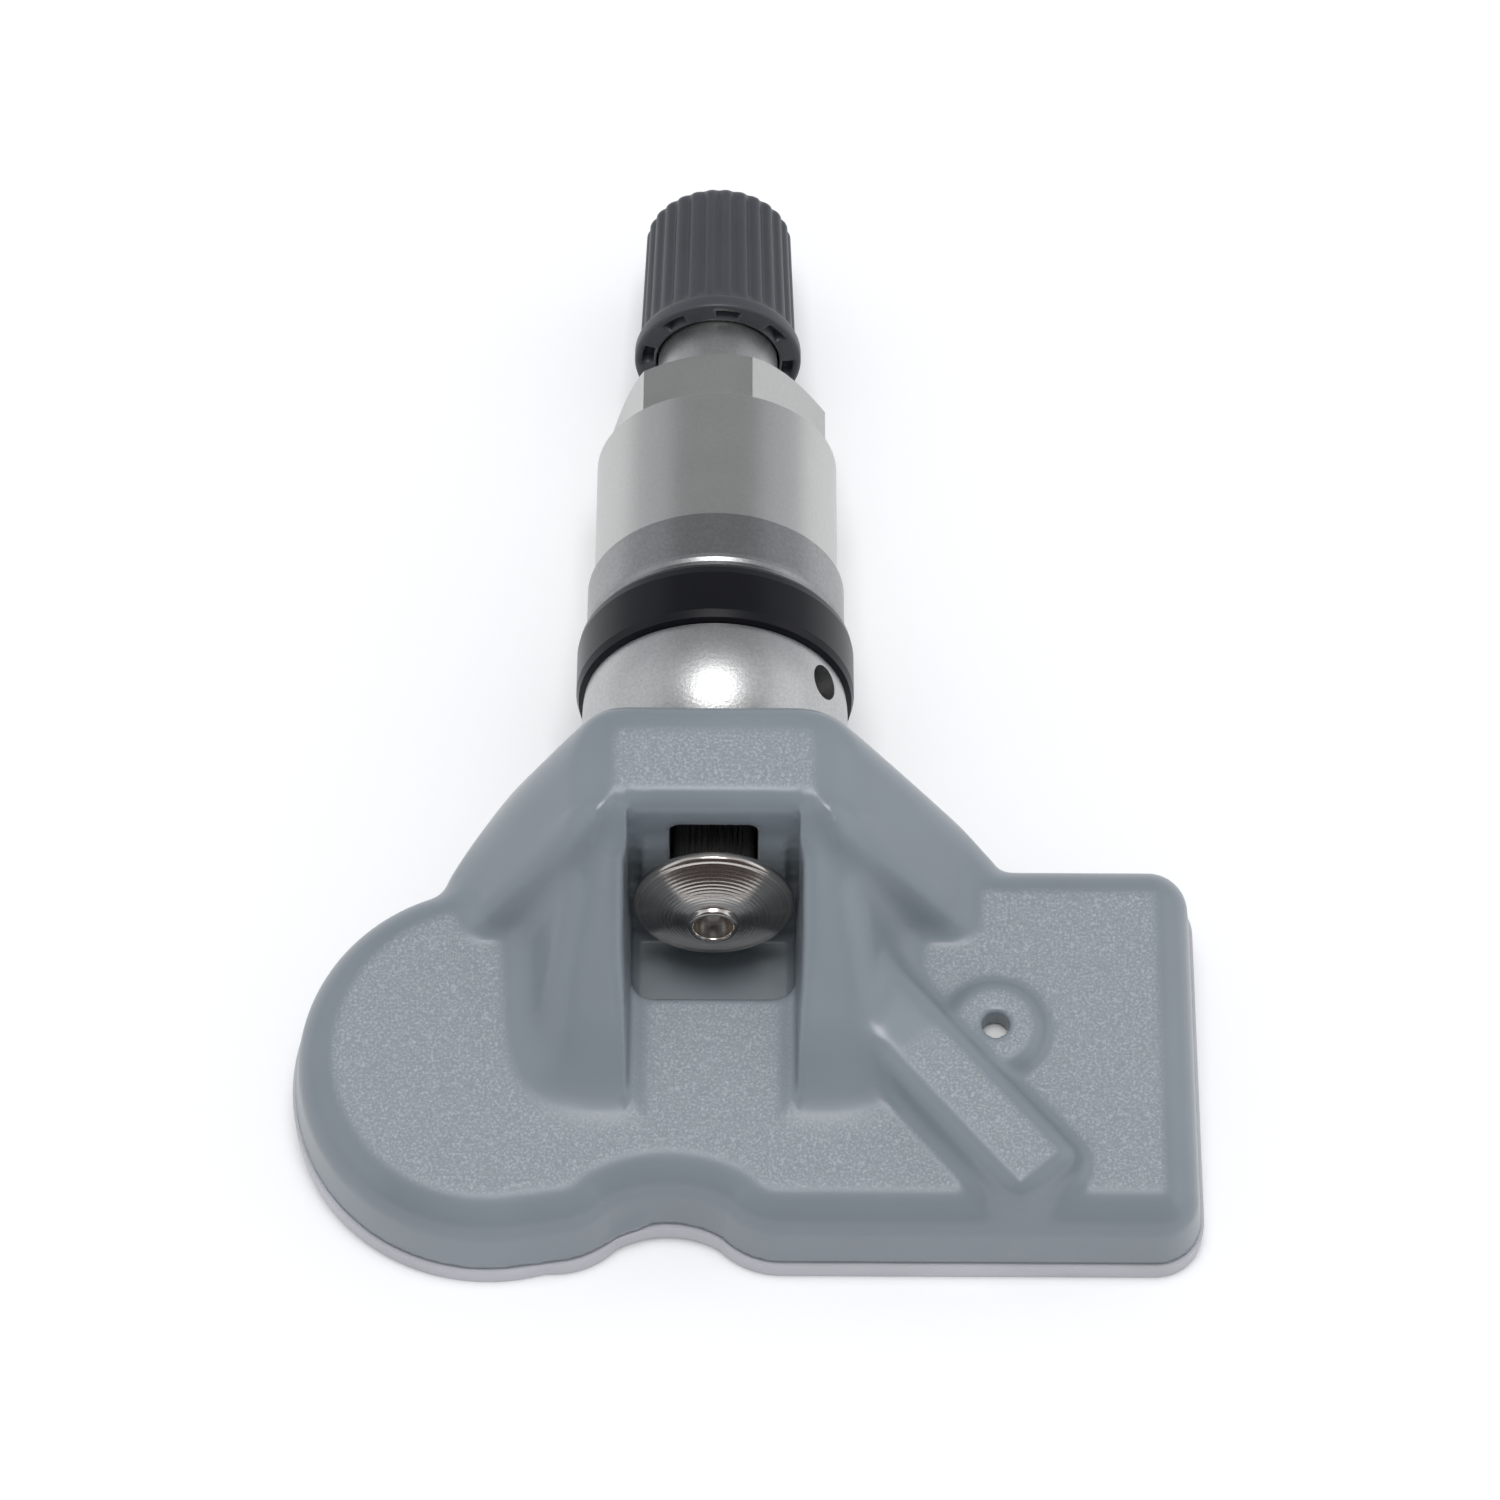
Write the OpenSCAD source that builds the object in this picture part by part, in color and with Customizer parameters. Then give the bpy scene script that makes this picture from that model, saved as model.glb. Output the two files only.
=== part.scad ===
// Tyre pressure sensor with a clamp-in metal valve, lying as it rests on a flat surface.
// Millimetres, +Z up, +Y along the valve towards its cap, +X to the right.
// The origin is on the valve axis, at the face of the grommet that meets the wheel rim.

/* [Posture] */
// Angle between the valve axis and the base of the housing
valve_angle = 11.4; // [9:0.2:14]
// Height of the valve axis above the base, level with the shoulder of the ball
axis_height = 5.6; // [5:0.1:6.4]

/* [Housing outline] */
// From the shoulder of the ball to the front edge of the housing
front_reach = 35.1; // [34:0.1:38]
// Radius of the round battery lobe
lobe_radius = 11.8; // [11.5:0.1:12.4]
// Battery lobe centre, left of the valve axis
lobe_offset = 13.2; // [12.5:0.1:14]
// How far the battery lobe reaches in front of the square lobe
lobe_lead = 0.5; // [0:0.1:0.8]
// Right edge of the square lobe at the front
right_reach = 29; // [27:0.1:31]
// How far the right edge leans in towards the rear
right_lean = 0.1; // [0:0.1:1.2]
// Rear edge of the square lobe behind the shoulder of the ball
square_rear = 10.7; // [10.4:0.1:12.5]
// Radius of the square lobe's corners
corner_radius = 2.9; // [2.8:0.1:4]
// Radius of the rounded ends on both sides of the front notch
notch_radius = 5; // [4:0.1:5.5]
// Centre of the front notch, left of the valve axis
notch_offset = 2.6; // [2:0.1:3.2]
// Half the distance between the notch's two rounded ends, centre to centre
notch_spread = 6.7; // [6:0.1:7.4]
// Depth of the front notch
notch_depth = 2.4; // [1.5:0.1:3]

/* [Housing heights] */
// Thickness of the base cover
cover_thick = 1.5; // [1.2:0.1:2]
// How far the shell steps in from the edge of the cover
cover_step = 0.15; // [0.1:0.05:0.4]
// Top of both lobes above the base
lobe_top = 7.2; // [6.9:0.1:8]
// Radius of the lobes' upper edge
edge_radius = 2; // [1.5:0.1:2.2]
// How far the lobes' sides lean in
side_draft = 0.4; // [0.3:0.1:0.7]
// Top of the clamp block above the valve axis
block_rise = 7.5; // [7:0.1:8.5]
// Roundness of the clamp block's edges
block_round = 2.2; // [1.5:0.1:2.4]
// Half the width of the clamp block's flat top, with its rounded edges
block_half = 8.3; // [7.5:0.1:8.6]
// Rear edge of the clamp block's top behind the shoulder of the ball
block_rear = 5.6; // [5:0.1:7]
// Wall of the shell round its hollows
shell_wall = 1.25; // [1:0.05:1.3]

/* [Channel] */
// Half the width of the channel between the legs
channel_half = 4.9; // [4.85:0.05:5.2]
// Front end of the legs, from the shoulder of the ball
leg_reach = 27.3; // [26:0.1:29]
// Outer foot of each leg, from the valve axis
leg_foot = 11.5; // [11:0.1:12.5]
// Roundness of the legs
leg_round = 1.2; // [0.8:0.1:1.4]
// Front edge of the pocket under the screw head
pocket_reach = 20.4; // [19.5:0.1:21]
// Floor of the pocket above the base
pocket_floor = 2.3; // [2.2:0.1:2.8]
// Radius of the pocket's corners
pocket_round = 1.3; // [0.8:0.1:2]

/* [Vent and antenna] */
// Vent hole in from the right edge of the square lobe
vent_in = 12.4; // [12:0.1:12.8]
// Vent hole behind the front edge of the square lobe
vent_back = 12.7; // [12.2:0.1:13.2]
// Radius of the vent hole
vent_radius = 0.8; // [0.6:0.05:1]
// Radius of the vent boss
boss_radius = 2.9; // [2.7:0.1:3.2]
// Height of the vent boss over the lobe
boss_rise = 0.9; // [0.6:0.1:1.2]
// Turn of the antenna bump from the right
bump_turn = 49; // [46:1:52]
// Length of the antenna bump
bump_length = 16; // [15:0.5:17]
// Width of the antenna bump at its foot
bump_width = 6.1; // [5.8:0.1:7]
// Width of the antenna bump at its top
bump_top_width = 4; // [3.9:0.1:4.6]
// Height of the antenna bump over the lobe
bump_rise = 2.2; // [1.9:0.1:2.8]
// Roundness of the antenna bump
bump_round = 0.8; // [0.4:0.1:0.9]

/* [Ball joint] */
// Radius of the ball collar
ball_radius = 8.05; // [7.8:0.05:8.2]
// Centre of the ball behind the shoulder
ball_back = 1.5; // [1.2:0.1:1.9]
// Flat rear of the ball behind the shoulder
ball_rear = 8; // [7.6:0.1:8.4]
// Clearance round the ball in its seat
ball_gap = 0.1; // [0.05:0.01:0.2]
// Radius of the clamp wall's bearing pad about the ball centre
pad_radius = 12.4; // [12.2:0.05:12.6]
// How far the pad bulges out of the clamp wall
pad_bulge = 0.5; // [0.3:0.1:0.6]
// Radius of the pin hole in the ball
pin_hole_radius = 1.1; // [0.8:0.05:1.3]
// Depth of the pin hole
pin_hole_depth = 2.8; // [2:0.1:3]
// Pin hole behind the shoulder
pin_hole_back = 2.1; // [1.6:0.1:2.6]
// Turn of the pin hole from the top towards the right
pin_hole_turn = 55.6; // [40:0.2:70]

/* [Hollow screw] */
// Largest radius of the screw head
head_radius = 4.75; // [4.5:0.05:4.75]
// Radius of the head's front rim
head_rim = 4.22; // [4:0.02:4.4]
// Length of the head's cone
head_cone = 1.5; // [1.2:0.1:1.8]
// Clearance between the head and the pad
head_gap = 0.1; // [0.05:0.01:0.3]
// Radius of the lip round the hole
lip_radius = 1.55; // [1.4:0.05:1.8]
// Radius of the hole in the head
screw_hole = 1.18; // [0.9:0.02:1.2]
// Radius of the knurled shank
shank_radius = 2.45; // [2.2:0.05:2.5]
// Ridges of the straight knurl
knurl_count = 36; // [24:1:48]
// Depth of the knurl
knurl_depth = 0.14; // [0.08:0.02:0.2]
// Radius of the screw's thread
thread_radius = 1.95; // [1.8:0.05:2]
// Length of the thread in the ball
thread_length = 10; // [8:0.5:11]
// Clearance between the shank and the sides of its slot
slot_gap = 0.15; // [0.1:0.05:0.3]
// Slot above the valve axis
slot_up = 4.8; // [4.7:0.1:5.2]
// Slot below the valve axis
slot_down = 5.2; // [4.8:0.1:5.4]
// Radius of the slot's corners
slot_round = 0.6; // [0.3:0.1:1]

/* [Valve] */
// Radius of the grommet
grommet_radius = 8.45; // [8.2:0.05:8.7]
// Length of the grommet
grommet_length = 4.1; // [3.6:0.1:4.6]
// Radius of the grommet's neck, for the valve hole
grommet_neck = 5.65; // [5.5:0.05:5.8]
// Radius of the thrust washer
washer_radius = 7.9; // [7.7:0.05:8.1]
// Length of the thrust washer
washer_length = 4.3; // [3.8:0.1:4.8]
// Radius of the nut's collar
nut_radius = 7.5; // [7.2:0.05:7.7]
// Length of the nut's collar
nut_collar = 10.3; // [9.5:0.1:11]
// Length of the nut's hexagon
hex_length = 4.3; // [4:0.1:4.6]
// Width of the hexagon across its flats
hex_flats = 12; // [11:0.5:13]
// Radius of the stem inside the nut
stem_radius = 4.6; // [4.3:0.05:4.8]
// Radius of the stem's neck
neck_radius = 3.8; // [3.7:0.05:3.9]
// Bare neck between the hexagon and the cap
neck_show = 4.6; // [4.4:0.1:5.2]
// End of the stem inside the cap
stem_end = 8; // [7.6:0.1:8.4]
// Running clearance between turned pieces
turn_gap = 0.06; // [0.04:0.01:0.1]

/* [Cap] */
// Radius of the cap's flange
flange_radius = 5.3; // [5.2:0.05:5.5]
// Length of the cap's flange
flange_length = 1.1; // [0.8:0.1:1.4]
// Radius of the cap above its flange
cap_radius = 4.98; // [4.95:0.01:5.05]
// How far the cap tapers to its end
cap_taper = 0.3; // [0.1:0.05:0.35]
// Length of the cap
cap_length = 11.2; // [10.6:0.1:11.6]
// Grooves round the cap
flute_count = 28; // [20:1:32]
// Depth of the cap's grooves
flute_depth = 0.22; // [0.15:0.01:0.3]
// Notches in the cap's mouth
notch_count = 8; // [6:2:10]

/* [Valve core] */
// Radius of the core's pin
core_pin_radius = 0.45; // [0.4:0.01:0.5]
// Travel of the core's pin
core_travel = 1; // [0.8:0.1:1.2]
// Radius of the core's barrel
barrel_radius = 1.5; // [1.4:0.05:1.6]
// Turns of the core's spring
spring_turns = 6; // [4:1:7]
// Radius of the spring's wire
spring_wire = 0.14; // [0.1:0.01:0.16]

/* [Electronics] */
// Radius of the battery cell
cell_radius = 8; // [7.4:0.1:8.1]
// Thickness of the battery cell
cell_thick = 3.2; // [2.8:0.1:3.3]
// Thickness of the circuit board
board_thick = 0.8; // [0.6:0.1:1]
// Thickness of the battery tabs
tab_thick = 0.2; // [0.15:0.05:0.25]
// Width of the battery tabs
tab_width = 2.6; // [2:0.1:3.5]
// Height of the posts and rings on the cover
post_height = 0.8; // [0.7:0.1:0.9]

/* [Hidden] */
$fn = 96;
hull_fn = 28;
tiny = 0.01;
seat_gap = 0.03;

// Stations along the valve, from the shoulder of the ball towards the cap
seat_v = grommet_length;
nut_v = grommet_length + washer_length;
hex_v = nut_v + nut_collar;
hex_end_v = hex_v + hex_length;
cap_v = hex_end_v + neck_show;
stem_end_v = cap_v + stem_end;
cap_end_v = cap_v + cap_length;
nut_chamfer = 0.4;
hex_turn = -11.5;
grommet_lap = 0.4;
cap_roof = 2.1;
ball_v = -ball_back;
wall_v = ball_v - pad_radius + pad_bulge;
head_v = ball_v - pad_radius - head_gap;
head_edge_v = head_v - 1.1;
head_rim_v = head_edge_v - 0.5;
lip_v = head_rim_v - head_cone;

// The sensor rests on the front edge of the battery lobe's base and on the rim of the nut's collar
rest_v = hex_v - nut_chamfer;
rest_y = rest_v * cos(valve_angle) - nut_radius * sin(valve_angle);
rest_z = axis_height - rest_v * sin(valve_angle) - nut_radius * cos(valve_angle);
pitch = atan2(-rest_z, rest_y + front_reach + lobe_lead);

// Stations of the housing, measured from the shoulder of the ball
lobe_y = lobe_radius - front_reach - lobe_lead;
block_top = axis_height + 12 * sin(valve_angle) + block_rise;
wall_y = wall_v * cos(valve_angle);
inner_top = lobe_top - shell_wall;
shoulder_half = 8.9;
shoulder_y = -2.9;
shoulder_bend = [11.9, -5.1];
left_corner = [-lobe_offset - 3.2, lobe_y + lobe_radius];
right_corner = [17.2, -square_rear];
notch_front = notch_depth - front_reach;
// The notch's hollow curve just cuts the round ends on both sides
bight_touch = (pow(notch_spread, 2) + pow(notch_radius - notch_depth, 2) - pow(notch_radius, 2))
    / notch_depth / 2;
bight_radius = bight_touch + 0.55;
bight_y = notch_front - bight_radius;
web_depth = 4;
bump_mid = [right_reach - 14.3, 8.1 - front_reach];
vent = [right_reach - vent_in, vent_back - front_reach];
inner_left = 0.8;
cell_mid = [-lobe_offset - 0.7, lobe_y - 0.2];
cell_room = 0.35;
cell_z = cover_thick + 0.5;
board_z = cover_thick + post_height;
board_top = board_z + board_thick;
board_posts = [for (x = [channel_half + 4.1, right_reach - 4.4],
    y = [3.9 - front_reach, -square_rear - 4.9]) [x, y]];
link_front = notch_front + shell_wall;
link_rear = -pocket_reach - shell_wall;
link_end = 7;
tab_y = (notch_front - pocket_reach) / 2;
piece_gap = 0.02;
membrane_radius = 1.7;
membrane_thick = 0.3;
membrane_top = inner_top + 0.25;
coil_length = 10;
coil_width = 2.6;
coil_flange = 1.3;
coil_top = lobe_top + bump_rise - 1;

// Stations and radii of the valve core
core_head_radius = 1.95;
core_shoulder_v = stem_end_v - 6.2;
core_inner_v = stem_end_v - 14;
spring_from = core_inner_v + 1.5 + piece_gap;
spring_to = spring_from + 3.5 + core_travel;

// Places a shape drawn in the valve's own frame, +Y along the valve from the ball's shoulder
module in_valve() {
    rotate([pitch - valve_angle, 0, 0]) translate([0, -seat_v, 0]) children();
}

// Places a shape drawn about +Z so that its +Z runs along the valve
module turned() {
    in_valve() rotate([-90, 0, 0]) children();
}

// Places a shape drawn in the housing's own frame, with the base at zero
module in_housing() {
    rotate([pitch, 0, 0])
        translate([0, -seat_v * cos(valve_angle), seat_v * sin(valve_angle) - axis_height]) children();
}

// Carries the valve's frame into the housing's frame
module valve_in_housing() {
    translate([0, 0, axis_height]) rotate([-valve_angle, 0, 0]) children();
}

// A turned ring between two radii and two stations
module ring(inner, outer, from, to) {
    rotate_extrude() polygon([[inner, from], [outer, from], [outer, to], [inner, to]]);
}

// Half of the edge section of a lobe, from its centre line to a side at radius r
function side_section(r) = concat(
    [[0, cover_thick], [r, cover_thick]],
    [for (a = [0:15:90]) [
        r - side_draft - edge_radius + edge_radius * cos(a),
        lobe_top - edge_radius + edge_radius * sin(a)]],
    [[0, lobe_top]]);

// A round lobe with leaning sides and a rounded upper edge
module puck(x, y, r) {
    translate([x, y, 0]) rotate_extrude() polygon(side_section(r));
}

function square_corners() = [
    [notch_spread - notch_offset, notch_radius - front_reach, notch_radius],
    [right_reach - corner_radius, corner_radius - front_reach, corner_radius],
    [right_reach - right_lean - corner_radius, -square_rear - corner_radius, corner_radius],
    [right_corner[0] - corner_radius, -square_rear - corner_radius, corner_radius]];

// The lobes on both sides of the front notch and the web between them
module lobes() {
    hull() {
        puck(-lobe_offset, lobe_y, lobe_radius - cover_step, $fn = 2 * hull_fn);
        puck(-notch_offset - notch_spread, notch_radius - front_reach, notch_radius - cover_step,
            $fn = hull_fn);
    }
    hull() for (c = square_corners()) puck(c[0], c[1], c[2] - cover_step, $fn = hull_fn);
    difference() {
        translate([0, 0, cover_thick]) linear_extrude(lobe_top - cover_thick) web_plan();
        translate([-notch_offset, bight_y, 0]) rotate_extrude() polygon(bight_section());
    }
}

// The web runs between the two rounded ends and back under the clamp block
module web_plan() {
    polygon([[-notch_offset, bight_y], [notch_spread - notch_offset, notch_radius - front_reach],
        [right_corner[0] - corner_radius, wall_y - web_depth], [-lobe_offset, wall_y - web_depth],
        [-lobe_offset, notch_radius - front_reach],
        [-notch_offset - notch_spread, notch_radius - front_reach]]);
}

// The hollow side of the front notch, with the lobes' lean and rounded edge turned inside out
function bight_section() = concat(
    [[0, cover_thick - 1], [bight_radius + cover_step, cover_thick - 1],
        [bight_radius + cover_step, cover_thick]],
    [for (a = [0:15:90]) [
        bight_radius + cover_step + side_draft + edge_radius - edge_radius * cos(a),
        lobe_top - edge_radius + edge_radius * sin(a)]],
    [[bight_radius + side_draft + edge_radius, lobe_top + 1], [0, lobe_top + 1]]);

// The bent rear edge of the block's foot, from the square lobe round to the battery lobe
function shoulders() = [right_corner, shoulder_bend, [shoulder_half, shoulder_y],
    [-shoulder_half, shoulder_y], [-shoulder_bend[0], shoulder_bend[1]], left_corner];

// The clamp block with its slopes down to the shoulders
module clamp_block() {
    hull() {
        translate([0, 0, cover_thick]) linear_extrude(lobe_top - edge_radius - cover_thick)
            polygon(concat(shoulders(), [[left_corner[0], wall_y - web_depth],
                [right_corner[0], wall_y - web_depth]]));
        for (x = [-1, 1], y = [wall_y + block_round - 0.6, 0.75 - block_round - block_rear])
            translate([x * (block_half - block_round), y, block_top - block_round])
                sphere(block_round, $fn = hull_fn);
    }
}

// One leg, sloping forward from the block to the lobes
module leg(side) {
    hull() {
        for (p = [[channel_half + leg_round, wall_y + 1, block_top - leg_round - 0.3],
                [channel_half + leg_round + 0.6, wall_y + 1, block_top - leg_round - 0.3],
                [channel_half + leg_round, -leg_reach + 2.4, lobe_top - leg_round + 0.6],
                [leg_foot + 1.5, wall_y - 1, lobe_top - leg_round],
                [leg_foot - leg_round, -leg_reach + 3.4, lobe_top - leg_round],
                [channel_half + 3.4, -leg_reach + leg_round, lobe_top - leg_round],
                [channel_half + leg_round, -leg_reach + leg_round, lobe_top - leg_round]])
            translate([side * p[0], p[1], p[2]]) sphere(leg_round, $fn = hull_fn);
    }
}

// The raised bump over the antenna coil, set across the square lobe
module antenna_bump() {
    foot = bump_width / 2 - bump_round;
    crown = bump_top_width / 2 - bump_round;
    half = bump_length / 2 - bump_round;
    translate([bump_mid[0], bump_mid[1], 0]) rotate([0, 0, -bump_turn]) hull()
        for (x = [-half, half], y = [-1, 1]) {
            translate([x, y * foot, lobe_top - edge_radius]) sphere(bump_round, $fn = hull_fn);
            translate([x - sign(x) * (foot - crown), y * crown, lobe_top + bump_rise - bump_round])
                sphere(bump_round, $fn = hull_fn);
        }
}

module vent_boss() {
    crown = boss_radius - boss_rise;
    translate([vent[0], vent[1], 0]) rotate_extrude() polygon(concat([[0, inner_top]],
        [[boss_radius, inner_top], [boss_radius, lobe_top]],
        [for (a = [15:15:90]) [crown + boss_rise * cos(a), lobe_top + boss_rise * sin(a)]],
        [[0, lobe_top + boss_rise]]));
}

// A flat rounded rectangle between two corners
module rounded_flat(low, high, r) {
    translate([low[0] + r, low[1]]) square([high[0] - low[0] - 2 * r, high[1] - low[1]]);
    translate([low[0], low[1] + r]) square([high[0] - low[0], high[1] - low[1] - 2 * r]);
    for (x = [low[0] + r, high[0] - r], y = [low[1] + r, high[1] - r]) translate([x, y]) circle(r);
}

// The room in front of the clamp wall: the channel between the legs and the pocket in its floor
module channel_room() {
    intersection() {
        union() {
            translate([-channel_half, -front_reach, lobe_top])
                cube([2 * channel_half, front_reach - ball_rear, block_top]);
            translate([0, 0, pocket_floor]) linear_extrude(block_top)
                rounded_flat([-channel_half, -pocket_reach], [channel_half, -ball_rear], pocket_round);
        }
        valve_in_housing() translate([-front_reach / 2, wall_v - front_reach, -front_reach / 2])
            cube(front_reach);
    }
}

// The curved pad that the screw head slides on as the valve swivels
module bearing_pad() {
    pad_half = channel_half - 0.6;
    chord = sqrt(pow(pad_radius, 2) - pow(pad_radius - pad_bulge, 2));
    valve_in_housing() intersection() {
        translate([-pad_half, ball_v, 0]) rotate([0, 90, 0]) cylinder(r = pad_radius, h = 2 * pad_half);
        translate([-pad_half, wall_v - pad_bulge, -chord]) cube([2 * pad_half, pad_bulge + 0.5, 2 * chord]);
    }
}

module shank_slot() {
    half = shank_radius + slot_gap;
    valve_in_housing() translate([0, -ball_rear + 2, 0]) rotate([90, 0, 0])
        linear_extrude(pad_radius) rounded_flat([-half, -slot_down], [half, slot_up], slot_round);
}

module ball_seat() {
    valve_in_housing() translate([0, ball_v, 0]) sphere(ball_radius + ball_gap);
}

// The hollows for the battery, the board and the antenna coil
module hollows() {
    room = inner_top - cover_thick;
    low = cover_thick - tiny;
    translate([cell_mid[0], cell_mid[1], low]) cylinder(r = cell_radius + cell_room, h = room);
    translate([0, 0, low]) linear_extrude(room) {
        rounded_flat([channel_half + shell_wall + 0.6, shell_wall + 0.4 - front_reach],
            [right_reach - right_lean - shell_wall - 0.4, -square_rear - shell_wall - 0.4], 1);
        translate([cell_mid[0], link_front]) square([link_end - cell_mid[0], link_rear - link_front]);
    }
    translate([bump_mid[0], bump_mid[1], low]) rotate([0, 0, -bump_turn])
        translate([-coil_length / 2 - 0.3, -coil_width / 2 - 0.2, 0])
            cube([coil_length + 0.6, coil_width + 0.4, coil_top - low + 0.2]);
    translate([vent[0], vent[1], low]) cylinder(r = membrane_radius + 0.05, h = membrane_top - low);
}

module housing_shell() color("#7d868c") in_housing() {
    difference() {
        union() {
            difference() {
                union() {
                    lobes();
                    clamp_block();
                    for (side = [-1, 1]) leg(side);
                    antenna_bump();
                    vent_boss();
                }
                channel_room();
                hollows();
            }
            bearing_pad();
        }
        ball_seat();
        shank_slot();
        translate([vent[0], vent[1], inner_top]) cylinder(r = vent_radius, h = lobe_top);
    }
}

// The plan of the base
module base_plan() {
    translate([-lobe_offset, lobe_y]) circle(lobe_radius);
    for (x = [-notch_offset - notch_spread, notch_spread - notch_offset])
        translate([x, notch_radius - front_reach]) circle(notch_radius);
    for (c = square_corners()) translate([c[0], c[1]]) circle(c[2]);
    corners = square_corners();
    polygon(concat([[notch_spread - notch_offset, -front_reach], [corners[1][0], -front_reach],
        [right_reach, corners[1][1]], [right_reach - right_lean, corners[2][1]],
        [corners[2][0], -square_rear]], shoulders(), [[-lobe_offset, lobe_y],
        [notch_spread - notch_offset, notch_radius - front_reach]]));
    translate([-lobe_offset, -front_reach])
        square([lobe_offset - notch_offset - notch_spread, lobe_radius]);
    difference() {
        web_plan();
        translate([-notch_offset, bight_y]) circle(bight_radius);
    }
}

// The cover that closes the base, with an open ring under the battery and posts under the board
module base_cover() color("#a3a5aa") in_housing() {
    difference() {
        linear_extrude(cover_thick) base_plan();
        ball_seat();
    }
    difference() {
        translate([cell_mid[0], cell_mid[1], cover_thick])
            ring(cell_radius - 3, cell_radius - 1.4, 0, cell_z - cover_thick - piece_gap);
        translate([cell_mid[0] + 1, tab_y - tab_width / 2 - 0.2, cover_thick + tiny])
            cube([cell_radius, tab_width + 0.4, 1]);
    }
    for (p = board_posts)
        translate([p[0], p[1], cover_thick]) cylinder(r = 0.9, h = post_height - piece_gap);
}

module circuit_board() color("#2f5d3a") in_housing()
    translate([0, 0, board_z]) linear_extrude(board_thick) {
        rounded_flat([channel_half + shell_wall + 1, shell_wall + 0.9 - front_reach],
            [right_reach - right_lean - shell_wall - 0.8, -square_rear - shell_wall - 0.8], 0.8);
        translate([inner_left, link_front + 0.4])
            square([link_end + 1.8 - inner_left, link_rear - link_front - 0.8]);
    }

// The round cell, with its smaller pole at the bottom
module battery_cell() color("#b9bcc0") in_housing()
    translate([cell_mid[0], cell_mid[1], cell_z]) rotate_extrude()
        polygon([[0, 0], [cell_radius - 1.2, 0], [cell_radius - 1.2, 0.4], [cell_radius - 0.3, 0.4],
            [cell_radius, 0.7], [cell_radius, cell_thick - 0.2], [cell_radius - 0.2, cell_thick],
            [0, cell_thick]]);

// A strip drawn by its path in height and width, seen from the front
module tab(path) {
    translate([0, tab_y + tab_width / 2, 0]) rotate([90, 0, 0])
        linear_extrude(tab_width) polygon(path);
}

module battery_tab_top() color("#c9c6bd") in_housing() {
    high = cell_z + cell_thick + piece_gap;
    end = inner_left + 3;
    tab([[cell_mid[0], high], [inner_left, high], [inner_left, board_top + piece_gap],
        [end, board_top + piece_gap], [end, board_top + piece_gap + tab_thick],
        [inner_left + tab_thick, board_top + piece_gap + tab_thick],
        [inner_left + tab_thick, high + tab_thick], [cell_mid[0], high + tab_thick]]);
}

module battery_tab_bottom() color("#c9c6bd") in_housing() {
    low = cell_z - piece_gap - tab_thick;
    start = cell_mid[0] + cell_radius - 1.4;
    high = board_z - piece_gap;
    tab([[start - 2, low], [start + 3, low], [inner_left + 1, high - tab_thick],
        [inner_left + 3, high - tab_thick], [inner_left + 3, high], [inner_left + 0.8, high],
        [start + 2.8, low + tab_thick], [start - 2, low + tab_thick]]);
}

module pressure_chip() color("#26282b") in_housing() {
    translate([vent[0], vent[1], board_top + piece_gap]) {
        translate([-1.4, -1.6, 0]) cube([5, 4.6, 1]);
        ring(0.5, 1.1, 1, 1.3);
    }
}

module radio_chip() color("#26282b") in_housing()
    translate([right_reach - 8.7, -square_rear - 7.9, board_top + piece_gap]) cube([4.2, 4.2, 0.9]);

module crystal() color("#c2c4c8") in_housing()
    translate([channel_half + 4.6, -square_rear - 7.8, board_top + piece_gap]) cube([3.2, 2.5, 0.8]);

module antenna_ferrite() color("#3b3a3a") in_housing()
    translate([bump_mid[0], bump_mid[1], 0]) rotate([0, 0, -bump_turn]) {
        low = board_top + piece_gap;
        for (x = [-coil_length / 2, coil_length / 2 - coil_flange])
            translate([x, -coil_width / 2, low]) cube([coil_flange, coil_width, coil_top - low]);
        translate([-coil_length / 2, -0.8, (low + coil_top) / 2 - 0.8]) cube([coil_length, 1.6, 1.6]);
    }

module antenna_winding() color("#9a5a2a") in_housing()
    translate([bump_mid[0], bump_mid[1], (board_top + piece_gap + coil_top) / 2])
        rotate([0, 0, -bump_turn]) rotate([0, 90, 0]) {
            wound = coil_length - 2 * coil_flange - 0.1;
            difference() {
                translate([0, 0, -wound / 2]) linear_extrude(wound)
                    rounded_flat([-1.25, -1.25], [1.25, 1.25], 0.6);
                translate([-0.82, -0.82, -coil_length]) cube([1.64, 1.64, 2 * coil_length]);
            }
        }

module port_gasket() color("#2a2a2c") in_housing()
    translate([vent[0], vent[1], 0])
        ring(1.15, membrane_radius, board_top + piece_gap + 1 + piece_gap,
            membrane_top - membrane_thick - 2 * piece_gap);

module vent_membrane() color("#f2f2f0") in_housing()
    translate([vent[0], vent[1], membrane_top - membrane_thick - piece_gap])
        cylinder(r = membrane_radius, h = membrane_thick);

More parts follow.
